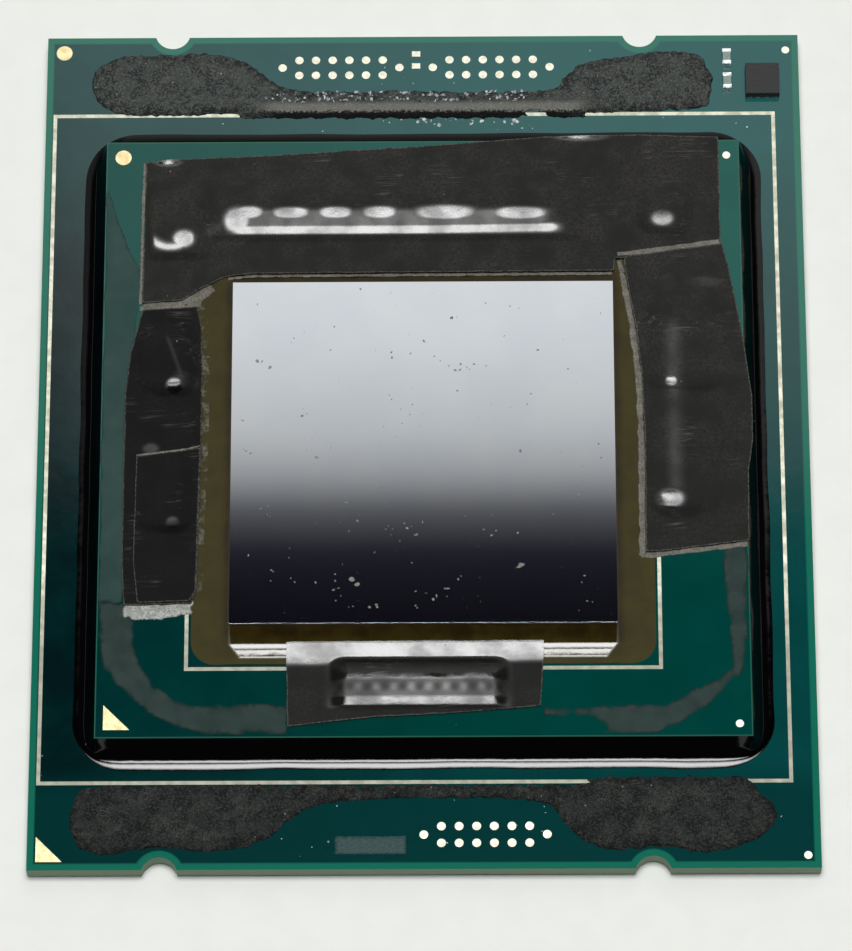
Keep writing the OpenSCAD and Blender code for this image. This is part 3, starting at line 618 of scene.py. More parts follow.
black_epoxy, tree, shader = new_surface("black_epoxy", gloss=0.4)
sheen = mottled(tree, 0.6, 3)
lint = use(tree, specks, per_mm=1.4, share=0.05, size=0.05)
feed(shader, sheen, 0.004, base_color=mix(lint, (1, 1, 2), (110, 112, 110)),
     roughness=scaled(sheen, 0.03, 0.06))
foot = perimeter([-CARRIER_HALF - BEAD_LEFT, -CARRIER_HALF - BEAD_FRONT],
                 [CARRIER_HALF + BEAD_RIGHT, CARRIER_HALF + BEAD_REAR], BEAD_CORNER)
wall = np.clip(foot, -CARRIER_HALF, CARRIER_HALF)
lip = np.clip(foot, -CARRIER_HALF + BEAD_LIP, CARRIER_HALF - BEAD_LIP)
foot += (foot - wall) * (0.06 * ripple(foot, 0.3, 11))[:, None]
bead_fall = slope_profile([0, 0.3, 0.5, 0.58, 0.92, 1], [1.3, 1.25, 0.9, 0.36, 0.06, 0], BEAD_RIM - BOARD_TOP)
loops = []
for share in np.linspace(1, 0, 41):
    loops.append(at_height(wall + (foot - wall) * share, BOARD_TOP + bead_fall(share)))
loops += [at_height(wall, CARRIER_Z), at_height(lip, CARRIER_Z), at_height(lip, BOARD_TOP)]
bead = lofted_ring("black_bead", loops, black_epoxy)
place_piece("black_bead", bead, "black_underfill", "carrier_underfill")

# Die: a thin block of bare silicon, ground and polished like a mirror on its back, with a hair-fine
# broken edge. Dust and flakes of old paste lie on it, and they show pale where it mirrors the dark.
DIE_HALF_W, DIE_HALF_L, DIE_Y = 11.125, 10.675, -1.45
DIE_Z, DIE_TOP, DIE_EDGE = 2.53, 3.31, 0.004
silicon, tree, shader = new_surface("silicon", metallic=1)
haze = mottled(tree, 0.25, 4)
fine = use(tree, scratches, per_mm=5, turn=0.5, share=0.12)
sawn = calc("LESS_THAN", parts_of(tree, "ShaderNodeNewGeometry", "Normal")[2], 0.9)
polished = mix(haze, (234, 240, 246), (240, 245, 249))
rough = calc("MAXIMUM", scaled(fine, 0.05, 0.03), times(sawn, 0.5))
feed(shader, base_color=mix(sawn, polished, (120, 116, 110)), roughness=rough)
work = bmesh.new()
bmesh.ops.create_cube(work, size=1)
scale = Vector((2 * DIE_HALF_W, 2 * DIE_HALF_L, DIE_TOP - DIE_Z)) * MM
bmesh.ops.scale(work, vec=scale, verts=work.verts)
bmesh.ops.translate(work, vec=Vector((0, DIE_Y, (DIE_TOP + DIE_Z) / 2)) * MM, verts=work.verts)
bmesh.ops.bevel(work, geom=work.edges[:], offset=DIE_EDGE * MM, segments=6, affect="EDGES", profile=0.5)
die = bpy.data.meshes.new("polished_die")
work.to_mesh(die)
work.free()
die.materials.append(silicon)
place_piece("polished_die", die, "silicon", "silicon_die")

# Centre, number of flakes, spread and size of each cluster of flakes on the die.
FLAKES = [
    (-9.28, 4.25, 3, 0.18, 0.26), (-1.72, 4.58, 3, 0.3, 0.2), (2.28, 3.71, 8, 0.45, 0.2),
    (4.74, 5.72, 1, 0, 0.14), (5.62, 7.5, 1, 0, 0.14), (-6.78, 0.58, 2, 0.25, 0.2),
    (-9.94, -1.47, 3, 0.18, 0.18), (-6.16, -1.88, 1, 0, 0.2), (-0.86, 1, 4, 0.35, 0.12),
    (-7.52, 5.64, 1, 0, 0.14), (8.45, 3.63, 1, 0, 0.14), (10.39, 7.15, 1, 0, 0.13),
    (-10.46, 0.45, 1, 0, 0.16), (-3.92, -5.7, 1, 0.1, 0.22), (-1.92, -6.55, 6, 0.7, 0.15),
    (-0.52, -6.25, 3, 0.2, 0.2), (3.68, -6.44, 3, 0.25, 0.24), (5.44, -6.62, 1, 0, 0.18),
    (9.14, -4.11, 6, 0.22, 0.2), (5.58, -8.6, 3, 0.2, 0.3), (9.32, -9.53, 3, 0.3, 0.18),
    (-4.02, -9.47, 2, 0.14, 0.4), (-5.42, -9.9, 4, 0.35, 0.2), (-8.42, -9.04, 4, 0.5, 0.14),
    (-2.72, -11.2, 3, 0.3, 0.22), (0.6, -10.5, 3, 0.25, 0.2), (1.4, -10, 3, 0.25, 0.2),
    (2.4, -9.5, 2, 0.2, 0.18), (-4.3, -10.65, 4, 0.4, 0.14), (-0.42, -10.9, 3, 0.3, 0.14),
    (-9.02, -5.58, 4, 0.3, 0.12),
]
FINE_DUST, DUST_W, FLAKE_T, FLAKE_RIP = 150, 0.045, 0.012, 0.16
draw = np.random.default_rng(3)
spots = []
for x, y, count, spread, size in FLAKES:
    for _ in range(count):
        spots.append((x + spread * draw.normal(), y + spread * draw.normal(), size * draw.uniform(0.5, 1)))
for _ in range(FINE_DUST):
    x, y = draw.uniform(-10.9, 10.9), DIE_Y + draw.uniform(-10.4, 10.4)
    spots.append((x, y, DUST_W * (0.6 + draw.exponential())))

flakes, given, out = new_rule("flakes", Thickness="Float", Seed="Int")
flake = add(flakes, "GeometryNodeMeshIcoSphere", {"Radius": 0.5, "Subdivisions": 2})
wide = add(flakes, "GeometryNodeInputNamedAttribute", {"Name": "width"}, data_type="FLOAT").outputs[0]
across = times(wide, by_chance(flakes, given, 0.35, 0.9))
shape = add(flakes, "ShaderNodeCombineXYZ", {0: wide, 1: across, 2: given["Thickness"]})
turn = add(flakes, "ShaderNodeCombineXYZ", {2: by_chance(flakes, given, 0.0, FULL_TURN)})
sources = {"Rotation": turn.outputs[0], "Scale": shape.outputs[0]}
real = copies(flakes, given["Geometry"], flake, sources)
rough = add(flakes, "ShaderNodeTexNoise", {"Scale": 11 / MM, "Detail": 2})
sources = {0: rough.outputs["Color"], 1: (FLAKE_RIP * MM, FLAKE_RIP * MM, 0)}
sources[2] = (-FLAKE_RIP / 2 * MM, -FLAKE_RIP / 2 * MM, 0)
push = add(flakes, "ShaderNodeVectorMath", sources, operation="MULTIPLY_ADD")
torn = add(flakes, "GeometryNodeSetPosition", {"Geometry": real, "Offset": push.outputs[0]})
end_rule(flakes, given, torn.outputs[0], out)


def lay_flakes(name, places, z, slot, seed, finish):
    """Flakes at one height as a piece, each with its place and width."""
    seeds = new_mesh(name + "_seeds", [(x, y, z) for x, y, _ in places], [], finish)
    keep(seeds, "width", [size * MM for *_, size in places])
    mesh = made_by_rule(name, seeds, flakes, Thickness=FLAKE_T * MM, Seed=seed, Finish=finish)
    place_piece(name, mesh, slot)


grey_dust = plain_surface("grey_dust", 12, 2, (84, 84, 86), (150, 147, 140), 0.7, 0.2, gloss=0.2)
lay_flakes("die_dust", spots, DIE_TOP, "silicon", 4, grey_dust)

# Loose flecks of the torn rubber and lint on the lower board, most of them in front of the rear strip.
pale_lint = plain_surface("pale_lint", 8, 2, (120, 130, 132), (214, 220, 222), 0.4, 0.2, gloss=0.4)
spots = [(draw.uniform(-2.6, 6), draw.normal(20.62, 0.16), draw.uniform(0.06, 0.3)) for _ in range(34)]
for low, high, count in ((19.9, 25.6, 40), (-25.6, -20.6, 24)):
    for _ in range(count):
        spots.append((draw.uniform(-21.5, 21.5), draw.uniform(low, high), draw.uniform(0.04, 0.1)))
spots = [spot for spot in spots if math.hypot(abs(spot[0]) - 14, abs(spot[1]) - BOARD_HALF_L) > 2.6]
lay_flakes("board_lint", spots, BOARD_TOP + 0.005, "package_mask", 6, pale_lint)

# Amber underfill: clear brown epoxy drawn in under the die. Its hollow slope climbs the die's wall,
# red-brown where it is thick and olive where it thins out over the green mask.
FILLET_REACH, FILLET_H, FILLET_CORNER = 2.2, 0.65, 1.4
DIE_LOW = np.array([-DIE_HALF_W, DIE_Y - DIE_HALF_L])
DIE_HIGH = np.array([DIE_HALF_W, DIE_Y + DIE_HALF_L])
amber_fall = slope_profile(
    [0, 1, 1.06, 1.33, 1.39, 1.72, 1.78, 2.2], [0.55, 0.39, 0.1, 0.25, 0.285, 0.34, 0.03, 0], FILLET_H)


def from_die(flat):
    """How far places lie beside the die and before or behind it."""
    return np.maximum(np.abs(flat - (0, DIE_Y)) - (DIE_HALF_W, DIE_HALF_L), 0)


def amber_height(out, away):
    """Height of the amber above the carrier by its distance from the die and the direction there: stepped
    in front of the die and behind it, straight at its sides."""
    straight = FILLET_H * np.clip(1 - out / FILLET_REACH, 0, 1)
    at_end = (away[:, 1] / np.maximum(np.hypot(*away.T), 1e-6)) ** 2
    return straight + (amber_fall(out) - straight) * at_end


def amber_at(flat):
    away = from_die(flat)
    return amber_height(np.hypot(*away.T), away)


amber, tree, shader = new_surface("amber_epoxy", gloss=0.5)
across, along, height = place_in(tree)
across = calc("ABSOLUTE", across)
thick = fade(height, CARRIER_TOP + 0.02, CARRIER_TOP + 0.45)
beside = fade(across, DIE_HALF_W, DIE_HALF_W + 0.6)
thick = times(thick, scaled(beside, -0.85, 1.0))
clouds = mottled(tree, 0.9, 4)
olive = mix(clouds, (52, 48, 14), (62, 56, 20))
brown = mix(clouds, (34, 26, 8), (48, 38, 12))
lint = use(tree, specks, per_mm=1.6, share=0.05, size=0.05)
body = mix(times(lint, 0.6), mix(thick, olive, brown), (170, 165, 140))
lower = calc("MAXIMUM", calc("SUBTRACT", DIE_LOW[1] - 1.05, along), 0)
end = fade(scaled(lower, 0.8, across), DIE_HALF_W - 0.15, DIE_HALF_W + 0.15, 0.06, 0.92)
dull = calc("MAXIMUM", end, fade(lower, 0.7, 0.85, 0.06, 0.92))
feed(shader, clouds, 0.004, base_color=body, roughness=scaled(clouds, 0.05, dull))
foot = perimeter(DIE_LOW - FILLET_REACH, DIE_HIGH + FILLET_REACH, FILLET_CORNER, turns=24)
wall = np.clip(foot, DIE_LOW, DIE_HIGH)
core = np.tile([0, DIE_Y], (len(foot), 1))
wave = 1 + 0.03 * ripple(foot, 0.35, 13)
loops = []
for share in np.linspace(1, 0, 90):
    climb = amber_height(share * FILLET_REACH, foot - wall) * wave
    loops.append(np.column_stack([wall + (foot - wall) * share, CARRIER_TOP + climb]))
loops += [at_height(wall, DIE_Z), at_height(core, DIE_Z), at_height(core, CARRIER_TOP)]
place_piece("amber_fillet", lofted_ring("amber_fillet", loops, amber), "amber_underfill", "die_underfill")

# Capacitors: ceramic blocks with tinned ends, soldered round the die and on the land side. Those
# round the die lie under the tapes.
ceramic = plain_surface("fired_ceramic", 7, 4, (150, 122, 92), (176, 150, 118), 0.45, 0.2, 0.01, gloss=0.4)
for row in ("rear", "left", "right", "front", "land_side"):
    dress(ceramic, f"{row}_capacitors")
    dress(solder, f"{row}_capacitor_ends")

# Tapes: strips of thin black plastic tape pressed down over the capacitors by hand. They show each
# capacitor as a low bump, climb the amber slope, and are scuffed by handling.
TAPE_T, TAPE_LIFT, TAPE_STEP = 0.13, 0.003, 0.13
REAR_TAPE_FRONT = 10.98
ROW_Y, ROW_H = 14.6, 0.63
CORNER_FRONT, CORNER_BACK, CORNER_H = 13.05, 14.25, 0.66
FRONT_ROW_Y, FRONT_ROW_H = -15.15, 0.58
BLOCK_H, CHIP_H = 0.61, 0.53
# How tape falls from the top of a block to the board beside it, by distance: draped at its sides, nosed
# round its front end, in a soft slope behind a row, eased down in front of the corner block and stretched
# in front of a row. The last one is how it bridges the amber slope.
draped = slope_profile([0, 0.22, 0.55, 0.82, 1], [0, 0.15, 1, 1, 0], 1)
nosed = slope_profile([0, 0.05, 0.6, 0.66, 0.92, 1], [0, 0.07, 0.34, 1, 1, 0], 1)
eased = slope_profile([0, 0.3, 0.45, 1.7, 1.75, 2.05, 2.15], [0, 0.07, 0.13, 0.21, 1, 1, 0], CORNER_H)
soft = slope_profile([0, 0.5, 0.8, 1], [0, 1, 1, 0], 1)
stretched = slope_profile(
    [0, 0.3, 0.45, 1.2, 2.1, 2.15, 2.4, 2.5, 2.6], [0, 0.08, 0.15, 0.19, 0.235, 1, 1, 0.1, 0], ROW_H)
front_stretched = slope_profile(
    [0, 0.35, 0.5, 1.75, 1.8, 1.85, 1.98, 2.05, 2.1], [0, 0.07, 0.2, 0.32, 0.33, 1.2, 1.2, 0.1, 0],
    FRONT_ROW_H)
bridge = slope_profile([0, 0.98, 1.05, 2.35, 2.6], [0.45, 0.42, 0.1, 0.235, 0], 0.692)


def bell(distance, width):
    """1 at no distance, falling smoothly to 0 at the given width."""
    return 0.5 + 0.5 * np.cos(np.pi * np.clip(distance / width, 0, 1))


def past(value, low, high):
    """How far a value lies outside a span."""
    return np.maximum(np.maximum(low - value, value - high), 0)


def bump(flat, x, y, half_x, half_y, height, left, right, front, back):
    """Tape laid over a block, with skirts of the given widths beside its flat top."""
    dx, dy = flat[:, 0] - x, flat[:, 1] - y
    side = past(dx, -half_x, half_x) / np.where(dx < 0, left, right)
    end = past(dy, -half_y, half_y) / np.where(dy < 0, front, back)
    away = np.hypot(side, end)
    ahead = np.where(dy < 0, (end / np.maximum(away, 1e-6)) ** 2, 0)
    return height * (draped(away) + (nosed(away) - draped(away)) * ahead)


def higher(first, second):
    """The higher of two heights, with a hollow crease between them."""
    return (first**4 + second**4) ** 0.25


def rear_bumps(flat):
    """The row of blocks, slack tape right of it, the corner block, a chip, and two curled edges."""
    x, y = flat.T
    ahead = ROW_Y - y
    row = np.where(ahead < 0, ROW_H * soft(-ahead / 2.5), stretched(ahead))
    row *= bell(past(x, -11.9, 7.5), np.where(x < 0, 1.6, 3.2))
    slack = 0.1 * bell(past(x, 8.5, 12.5), 1.8) * bell(np.abs(y - 14.2), 1.8)
    slack *= 1 - bell(np.hypot((x - 10.1) / 1.7, (y - 14.8) / 0.9), 1)
    behind = CORNER_H * soft(np.maximum(y - CORNER_BACK, 0) / 2)
    corner = np.where(y > CORNER_FRONT, behind, eased(CORNER_FRONT - y))
    corner *= bell(past(x, -15.85, -13.6), np.where(x < -14.5, 0.65, 1.6))
    chip = bump(flat, 14.225, 14.025, 0.6, 0.2, CHIP_H, left=1.3, right=1.3, front=1.5, back=1.6)
    curls = 0.05 * bell(np.abs(x - 9.3), 1.7) * np.clip((y - 18.55) / 0.45, 0, 1) ** 2
    curls += 0.06 * bell(np.abs(x + 15.1), 0.8) * np.clip((y - 17.05) / 0.4, 0, 1) ** 2
    return higher(higher(row, corner), np.maximum(slack, chip)) + curls


def right_bumps(flat):
    """Two blocks, the tape that spans them, and the end that lies on the rear tape."""
    near = bump(flat, 14.7, 5.4, 0.1, 2.2, BLOCK_H, left=2.1, right=2.9, front=1, back=2.4)
    far = bump(flat, 14.55, -1.8, 0.3, 2.2, BLOCK_H, left=1.9, right=2.9, front=1.5, back=2.4)
    saddle = 0.4 * bell(np.abs(flat[:, 0] - 14.6), 2) * bell(past(flat[:, 1], 0, 4), 1.5)
    overlap = (TAPE_T + TAPE_LIFT) * (1 - bell(flat[:, 1] - REAR_TAPE_FRONT + 2.7, 2.6))
    return higher(np.maximum(near, far), saddle) + overlap


def left_bumps(flat):
    """Two blocks and a small lump between them."""
    blocks = [bump(flat, -14.6, y, half_x, 1, BLOCK_H, left=2.2, right=1.7, front=front, back=2.6)
              for y, half_x, front in ((4.3, 0.1, 1.1), (-4.5, 0, 0.9))]
    lump = 0.035 * bell(np.hypot((flat[:, 0] + 15.9) / 0.9, (flat[:, 1] + 0.6) / 0.8), 1)
    return np.maximum.reduce([*blocks, lump])


def front_bumps(flat):
    x, y = flat.T
    ahead = FRONT_ROW_Y - y
    row = np.where(ahead < 0, FRONT_ROW_H * soft(-ahead / 1.45), front_stretched(ahead))
    return row * bell(past(x, -4.3, 3.9), 1.5)


def tape_face(flat, bumps, seed):
    """The upper face of a tape laid over the amber slope and its bumps."""
    over_amber = np.maximum(bridge(np.hypot(*from_die(flat).T)), 1.05 * amber_at(flat))
    ripples = 0.01 * (1 + ripple(flat, 0.55, seed)) + 0.004 * (1 + ripple(flat, 2.2, seed + 1))
    return CARRIER_TOP + TAPE_LIFT + TAPE_T + higher(over_amber, bumps(flat)) + ripples


# Where a tape was rubbed smooth, mostly on the bumps: spots with their place, half width, half length,
# smoothness and squareness, and lines along a foot, a rim or a crease.
REAR_SPOTS = [
    (-7.78, 13.79, 1.2, 0.38, 1, 2.4), (-5.13, 13.79, 1.1, 0.38, 1, 2.4), (-2.55, 13.8, 1.1, 0.4, 1, 2.4),
    (1.3, 13.78, 1.95, 0.48, 1, 2.4), (5.75, 13.72, 1.65, 0.42, 1, 2.4), (-10.95, 13.35, 0.85, 0.85, 1, 2),
    (-10.25, 13.82, 0.95, 0.42, 1, 2), (14.12, 13.36, 0.72, 0.5, 0.85, 2), (9.4, 18.95, 1.6, 0.3, 1, 2),
    (-15.1, 17.35, 0.8, 0.25, 1, 2), (-14.05, 12.15, 0.7, 0.6, 1, 2),
]
RIGHT_SPOTS = [
    (14.3, -4.45, 0.85, 0.6, 1, 2), (14.45, 2.92, 0.36, 0.34, 1, 2), (14.4, 9.3, 0.5, 0.6, 0.3, 2),
    (16.4, 9.4, 1, 0.35, 0.28, 2),
]
LEFT_SPOTS = [
    (-14.47, 2.82, 0.5, 0.45, 1, 2), (-13.9, 3.1, 0.8, 0.5, 0.4, 2), (-14.43, -5.85, 0.4, 0.35, 0.6, 2),
    (-15.8, -1, 0.5, 0.35, 0.6, 2),
]


def rubbed(flat, spots, *lines):
    """The smoothest of the spots, which fall off smoothly past their rims, and the lines."""
    shares = [*lines]
    for x, y, wide, long, smooth, square in spots:
        away = np.abs(flat - (x, y)) / (wide, long)
        share = np.clip((1.32 - (away**square).sum(1) ** (1 / square)) / 0.7, 0, 1)
        shares.append(smooth * share * share * (3 - 2 * share))
    return np.maximum.reduce(shares)


def rear_shine(flat):
    x, y = flat.T
    foot = bell(np.abs(y - 12.76 - 0.012 * np.maximum(x, 0)), 0.52) * bell(past(x, -10.6, 7.4), 1.3)
    between = 0.62 * bell(past(x, -10.5, 6.8), 1.4) * bell(past(y, 12.8, 13.8), 0.4)
    glow = 0.35 * bell(np.abs(y - 12.75 - 0.4 * (x + 12.5)), 0.5) * bell(np.abs(x + 12.4), 1.2)
    rim = np.hypot((x + 14.85) / 1.5, (y - 12.75) / 1.25)
    smile = np.interp(rim, [0.5, 0.82, 0.96, 1.2], [0, 1, 1, 0])
    smile *= np.interp(y, [12.2, 12.6], [1, 0]) * np.interp(x, [-16, -15.75], [0, 1])
    return rubbed(flat, REAR_SPOTS, np.minimum(1, 1.35 * foot), between, glow, smile)


def right_shine(flat):
    x, y = flat.T
    return rubbed(flat, RIGHT_SPOTS, 0.38 * bell(np.abs(x - 14.6), 0.8) * bell(past(y, -3.4, 6), 1.2))


def left_shine(flat):
    x, y = flat.T
    crease = 0.45 * bell(np.abs(x + 14 - 0.35 * (3.2 - y)), 0.22) * bell(past(y, 3.4, 5.4), 0.9)
    return rubbed(flat, LEFT_SPOTS, crease)


def front_shine(flat):
    x, y = flat.T
    hump = np.interp(y, [-17.15, -16.9, -16.5, -16.36, -15.55, -15.35], [0, 1, 1, 0.62, 0.54, 1])
    hump += 0.16 * np.cos(2 * np.pi * (x - 0.3)) * bell(np.abs(y + 15.9), 0.4)
    rear_strip = bell(past(y, -14.2 + 0.012 * (x + 7), -12), 0.45)
    return rubbed(flat, [], hump * bell(past(x, -5, 4.5), 0.8), rear_strip)


def tape_finish(name, dark, light, scuffs, gloss):
    """Black tape, matt from handling, with painted shade darkening it towards the front, and smooth where the
    mesh stores shine.
    """
    material, tree, shader = new_surface(name, gloss=gloss)
    rub = mottled(tree, 0.6, 5)
    grain = mottled(tree, 7, 4)
    long_lines = use(tree, scratches, per_mm=3.4, turn=0.06, share=0.34, length=28)
    cross_lines = use(tree, scratches, per_mm=2.6, turn=1.2, share=0.2, length=18)
    lint = use(tree, specks, per_mm=1.6, share=0.06, size=0.06)
    marks = times(calc("MAXIMUM", long_lines, times(cross_lines, 0.7)), scuffs)
    marks = calc("MAXIMUM", marks, times(lint, 0.7))
    black = mix(times(rub, grain), dark, light)
    # Painted shade: the tape's black darkens towards the front.
    black = mix(fade(place_in(tree)[1], 9, -9, 0, 0.45), black, (7, 7, 7))
    fluff = times(fade(stored(tree, "edge"), 0.09, 0.02), scaled(grain, 0.3, 0.05))
    face = mix(fluff, mix(marks, black, (132, 131, 125)), (140, 138, 130))
    smooth = times(stored(tree, "shine"), scaled(rub, 0.24, 0.78))
    rough = scaled(smooth, -0.83, 0.93)
    rough = calc("MULTIPLY_ADD", calc("MAXIMUM", marks, fluff), 0.4, rough, clamp=True)
    feed(shader, grain, 0.0012, base_color=face, roughness=rough)
    return material


worn_tape = tape_finish("worn_tape", (22, 22, 20), (46, 45, 42), 0.3, 0.5)
# The left tapes' finish is a darker copy of the same tape: painted shade.
shaded_tape = tape_finish("shaded_tape", (7, 7, 8), (22, 22, 22), 0.25, 0.33)
# Each tape's bumps, shine, finish, seed, corners, and the rectangles that need a finer mesh.
TAPES = {
    "rear_tape": (rear_bumps, rear_shine, worn_tape, 21, [
        (-16.475, 8.275), (-14.125, 8.425), (-13.025, 9.125), (-11.625, 9.725), (-10.025, 9.975),
        (11.225, 10.075), (11.325, REAR_TAPE_FRONT), (17.525, REAR_TAPE_FRONT), (17.525, 18.9),
        (12.925, 19.05), (7.225, 18.95), (-0.125, 18.35), (-9.925, 17.75), (-14.825, 17.55), (-16.375, 17.35),
    ], [((-13.6, 12.4), (9.6, 14.7)), ((-17, 10.9), (-13.2, 13.2)), ((13.2, 12.6), (15.2, 14.2))]),
    "right_tape": (right_bumps, right_shine, worn_tape, 23, [
        (12.825, -7.6), (18.8, -6.85), (18.85, -2.5), (19.15, -0.6), (19.15, 2.2), (18.65, 6.4), (18, 10.225),
        (17.6, 11.875), (11.825, 11.075), (11.975, 9.325), (12.475, 6.4), (12.775, 3.2), (12.875, -0.6),
    ], [((13.2, -5.6), (15.6, -3.4)), ((13.8, 2.2), (15.2, 3.7))]),
    "left_lower_tape": (left_bumps, left_shine, shaded_tape, 25, [
        (-17.225, -10.7), (-13.325, -10.6), (-13.025, -9.8), (-12.875, -1), (-12.875, 4), (-12.925, 6.5),
        (-13.225, 8.025), (-16.425, 7.825), (-17.125, 5), (-17.375, 2.4), (-17.375, -8),
    ], [((-15.3, 2.1), (-13.4, 3.6))]),
    "left_upper_tape": (lambda flat: left_bumps(flat) + TAPE_T + TAPE_LIFT, left_shine, shaded_tape, 27, [
        (-16.425, -10.6), (-13.425, -10.5), (-13.075, -9.8), (-12.925, -1), (-14.725, -1.3), (-16.625, -1.5),
        (-16.725, -8),
    ], [((-15.2, -6.6), (-13.6, -5.2))]),
    "front_tape": (front_bumps, front_shine, worn_tape, 29, [
        (-7.75, -18.125), (-3, -17.575), (2.1, -17.325), (6.7, -16.925), (6.9, -13.025), (-7.85, -13.075),
    ], [((-7.9, -17.2), (7, -12.9))]),
}
for name, (bumps, shine, finish, seed, corners, fine) in TAPES.items():
    mesh = sheet_solid(
        f"stuck_{name}", ragged(corners, 0.12, 0.03, 1.4, seed), TAPE_STEP,
        lambda flat, gap: tape_face(flat, bumps, seed),
        lambda flat, gap: tape_face(flat, bumps, seed) - TAPE_T, finish, sharp=60, fine=fine)
    keep(mesh, "shine", shine(np.array([v.co[:2] for v in mesh.vertices]) / MM))
    place_piece(f"stuck_{name}", mesh, "tape", name)

# Old adhesive: grey glue pressed out along the tapes' edges, and a thin film that an earlier tape left
# on the carrier. Both are smears with ragged outlines, and the green shows through the film.
GLUE_T = 0.02


def glue(name, dark, light, low, high, soft, per_mm=2.2):
    """A smear that covers what lies under it by a share from low to high, and thins out at its rim."""
    material, tree, shader = new_surface(name, gloss=0.2)
    lumps = mottled(tree, per_mm, 6)
    grain = mottled(tree, 4 * per_mm, 3)
    rim = fade(scaled(lumps, soft, stored(tree, "edge")), 0.4 * soft, 1.6 * soft)
    cover = calc("MULTIPLY", rim, scaled(lumps, high - low, low), clamp=True)
    feed(shader, grain, 0.004, base_color=mix(grain, dark, light), alpha=cover,
         roughness=scaled(grain, 0.2, 0.55))
    return material


def ribbon(points, width):
    """The outline of a strip along a line."""
    line = even_line(np.array(points, float), 0.3, False)
    aside = rightward(np.gradient(line, axis=0)) * width / 2
    return np.vstack([line + aside, (line - aside)[::-1]])


def ground(flat, tape):
    """The face that a smear lies on: that of a tape, or of the carrier with its amber."""
    if tape:
        bumps, _, _, seed, *_ = TAPES[tape]
        return tape_face(flat, bumps, seed)
    return CARRIER_TOP + 1.05 * amber_at(flat)


tan_glue = glue("tan_glue", (102, 100, 92), (128, 126, 116), 0.6, 1, 0.04)
patchy_glue = glue("patchy_glue", (76, 70, 54), (112, 107, 92), -0.5, 0.95, 0.1, 1.6)
white_glue = glue("white_glue", (146, 149, 143), (186, 189, 183), 0.6, 1.1, 0.12)
film = glue("glue_film", (38, 57, 54), (50, 69, 64), 0.5, 0.8, 0.3, 1.1)
pale_film = glue("pale_film", (50, 78, 74), (61, 88, 82), 0.3, 0.62, 0.12, 0.3)
# Each smear's glue, the tape under it if there is one, its width and its middle line.
SMEARS = [
    ("right_inner_glue", tan_glue, None, 0.4, [
        (12.625, -7.85), (12.675, -0.6), (12.585, 3.2), (12.275, 6.4), (11.775, 9.325), (11.575, 10.975)]),
    ("right_upper_glue", tan_glue, "rear_tape", 0.34, [(11.425, 11.225), (17.45, 12.045)]),
    ("right_lower_glue", tan_glue, None, 0.34, [(12.525, -7.8), (18.7, -7.02)]),
    ("left_lower_glue", white_glue, None, 0.95, [
        (-17.225, -11.05), (-15.125, -11.05), (-13.225, -10.75)]),
    ("left_upper_glue", tan_glue, None, 0.34, [(-16.625, 7.945), (-13.025, 8.205)]),
    ("left_inner_glue", patchy_glue, None, 0.55, [
        (-13.075, 8.025), (-12.725, 6.5), (-12.725, -1), (-12.925, -9.9)]),
    ("left_seam_glue", tan_glue, "left_lower_tape", 0.14, [
        (-16.675, -1.42), (-14.725, -1.2), (-12.925, -0.9)]),
    ("rear_side_glue", tan_glue, None, 0.2, [(-16.575, 8.225), (-16.475, 17.4)]),
    ("rear_inner_glue", tan_glue, None, 0.24, [(-11.425, 9.645), (-10.025, 9.845), (11.125, 9.945)]),
    ("rear_corner_glue", tan_glue, None, 0.3, [(-16.425, 8.125), (-13.925, 8.325)]),
    ("rear_tuft_glue", tan_glue, None, 0.75, [(-14.225, 8.275), (-13.325, 8.575), (-12.325, 9.175)]),
]
# Each film's glue and outline.
FILMS = [
    ("left_film", pale_film, [
        (-18.72, -10.6), (-17.2, -10.6), (-17.25, -8), (-17.3, 2.4), (-17, 5), (-16.6, 8), (-16.5, 10.2),
        (-17.4, 12), (-18.72, 16)]),
    ("front_left_film", film, [
        (-18.7, -10.3), (-18.6, -12.8), (-18.4, -14.3), (-17.8, -15.3), (-16.8, -16.4), (-15.6, -17.3),
        (-14.1, -18.1), (-12.4, -18.55), (-7.7, -18.6), (-7.7, -16.8), (-10.5, -16.65), (-12.7, -16.8),
        (-14.3, -16.3), (-15.5, -15.4), (-16.1, -14.5), (-16.4, -13.7), (-16.6, -11.9), (-16.7, -10.5)]),
    ("right_film", film, [
        (17.2, -7), (17.3, -10.5), (17.6, -12.9), (17.6, -14.6), (16.6, -15.4), (15.5, -15.85),
        (14.6, -16.45), (13.9, -16.75), (12.3, -16.75), (8.7, -17), (6.8, -17), (6.8, -17.5), (8.6, -17.5),
        (10.2, -17.9), (10.4, -18.25), (10.1, -18.65), (11.7, -18.65), (13.4, -18.55), (14.65, -17.9),
        (16.1, -17.05), (17, -16.2), (18.1, -15.1), (18.4, -14.3), (18.65, -12.3), (18.7, -7)]),
]
for number, (name, finish, tape, width, points) in enumerate(SMEARS):
    outline = ragged(ribbon(points, width), 0.07, 0.16 * width, 1.6, 71 + number)
    mesh = sheet_solid(
        name, outline, width / 5,
        lambda flat, gap: ground(flat, tape) + 0.006 + GLUE_T * np.minimum(5 * gap / width, 1),
        lambda flat, gap: ground(flat, tape) + 0.004, finish)
    place_piece(name, mesh, "tape")
for number, (name, finish, corners) in enumerate(FILMS):
    outline = ragged(corners, 0.1, 0.08, 0.8, 51 + number)
    mesh = sheet_solid(name, outline, 0.16, CARRIER_TOP + 0.007, CARRIER_TOP + 0.003, finish)
    place_piece(name, mesh, "carrier_mask")

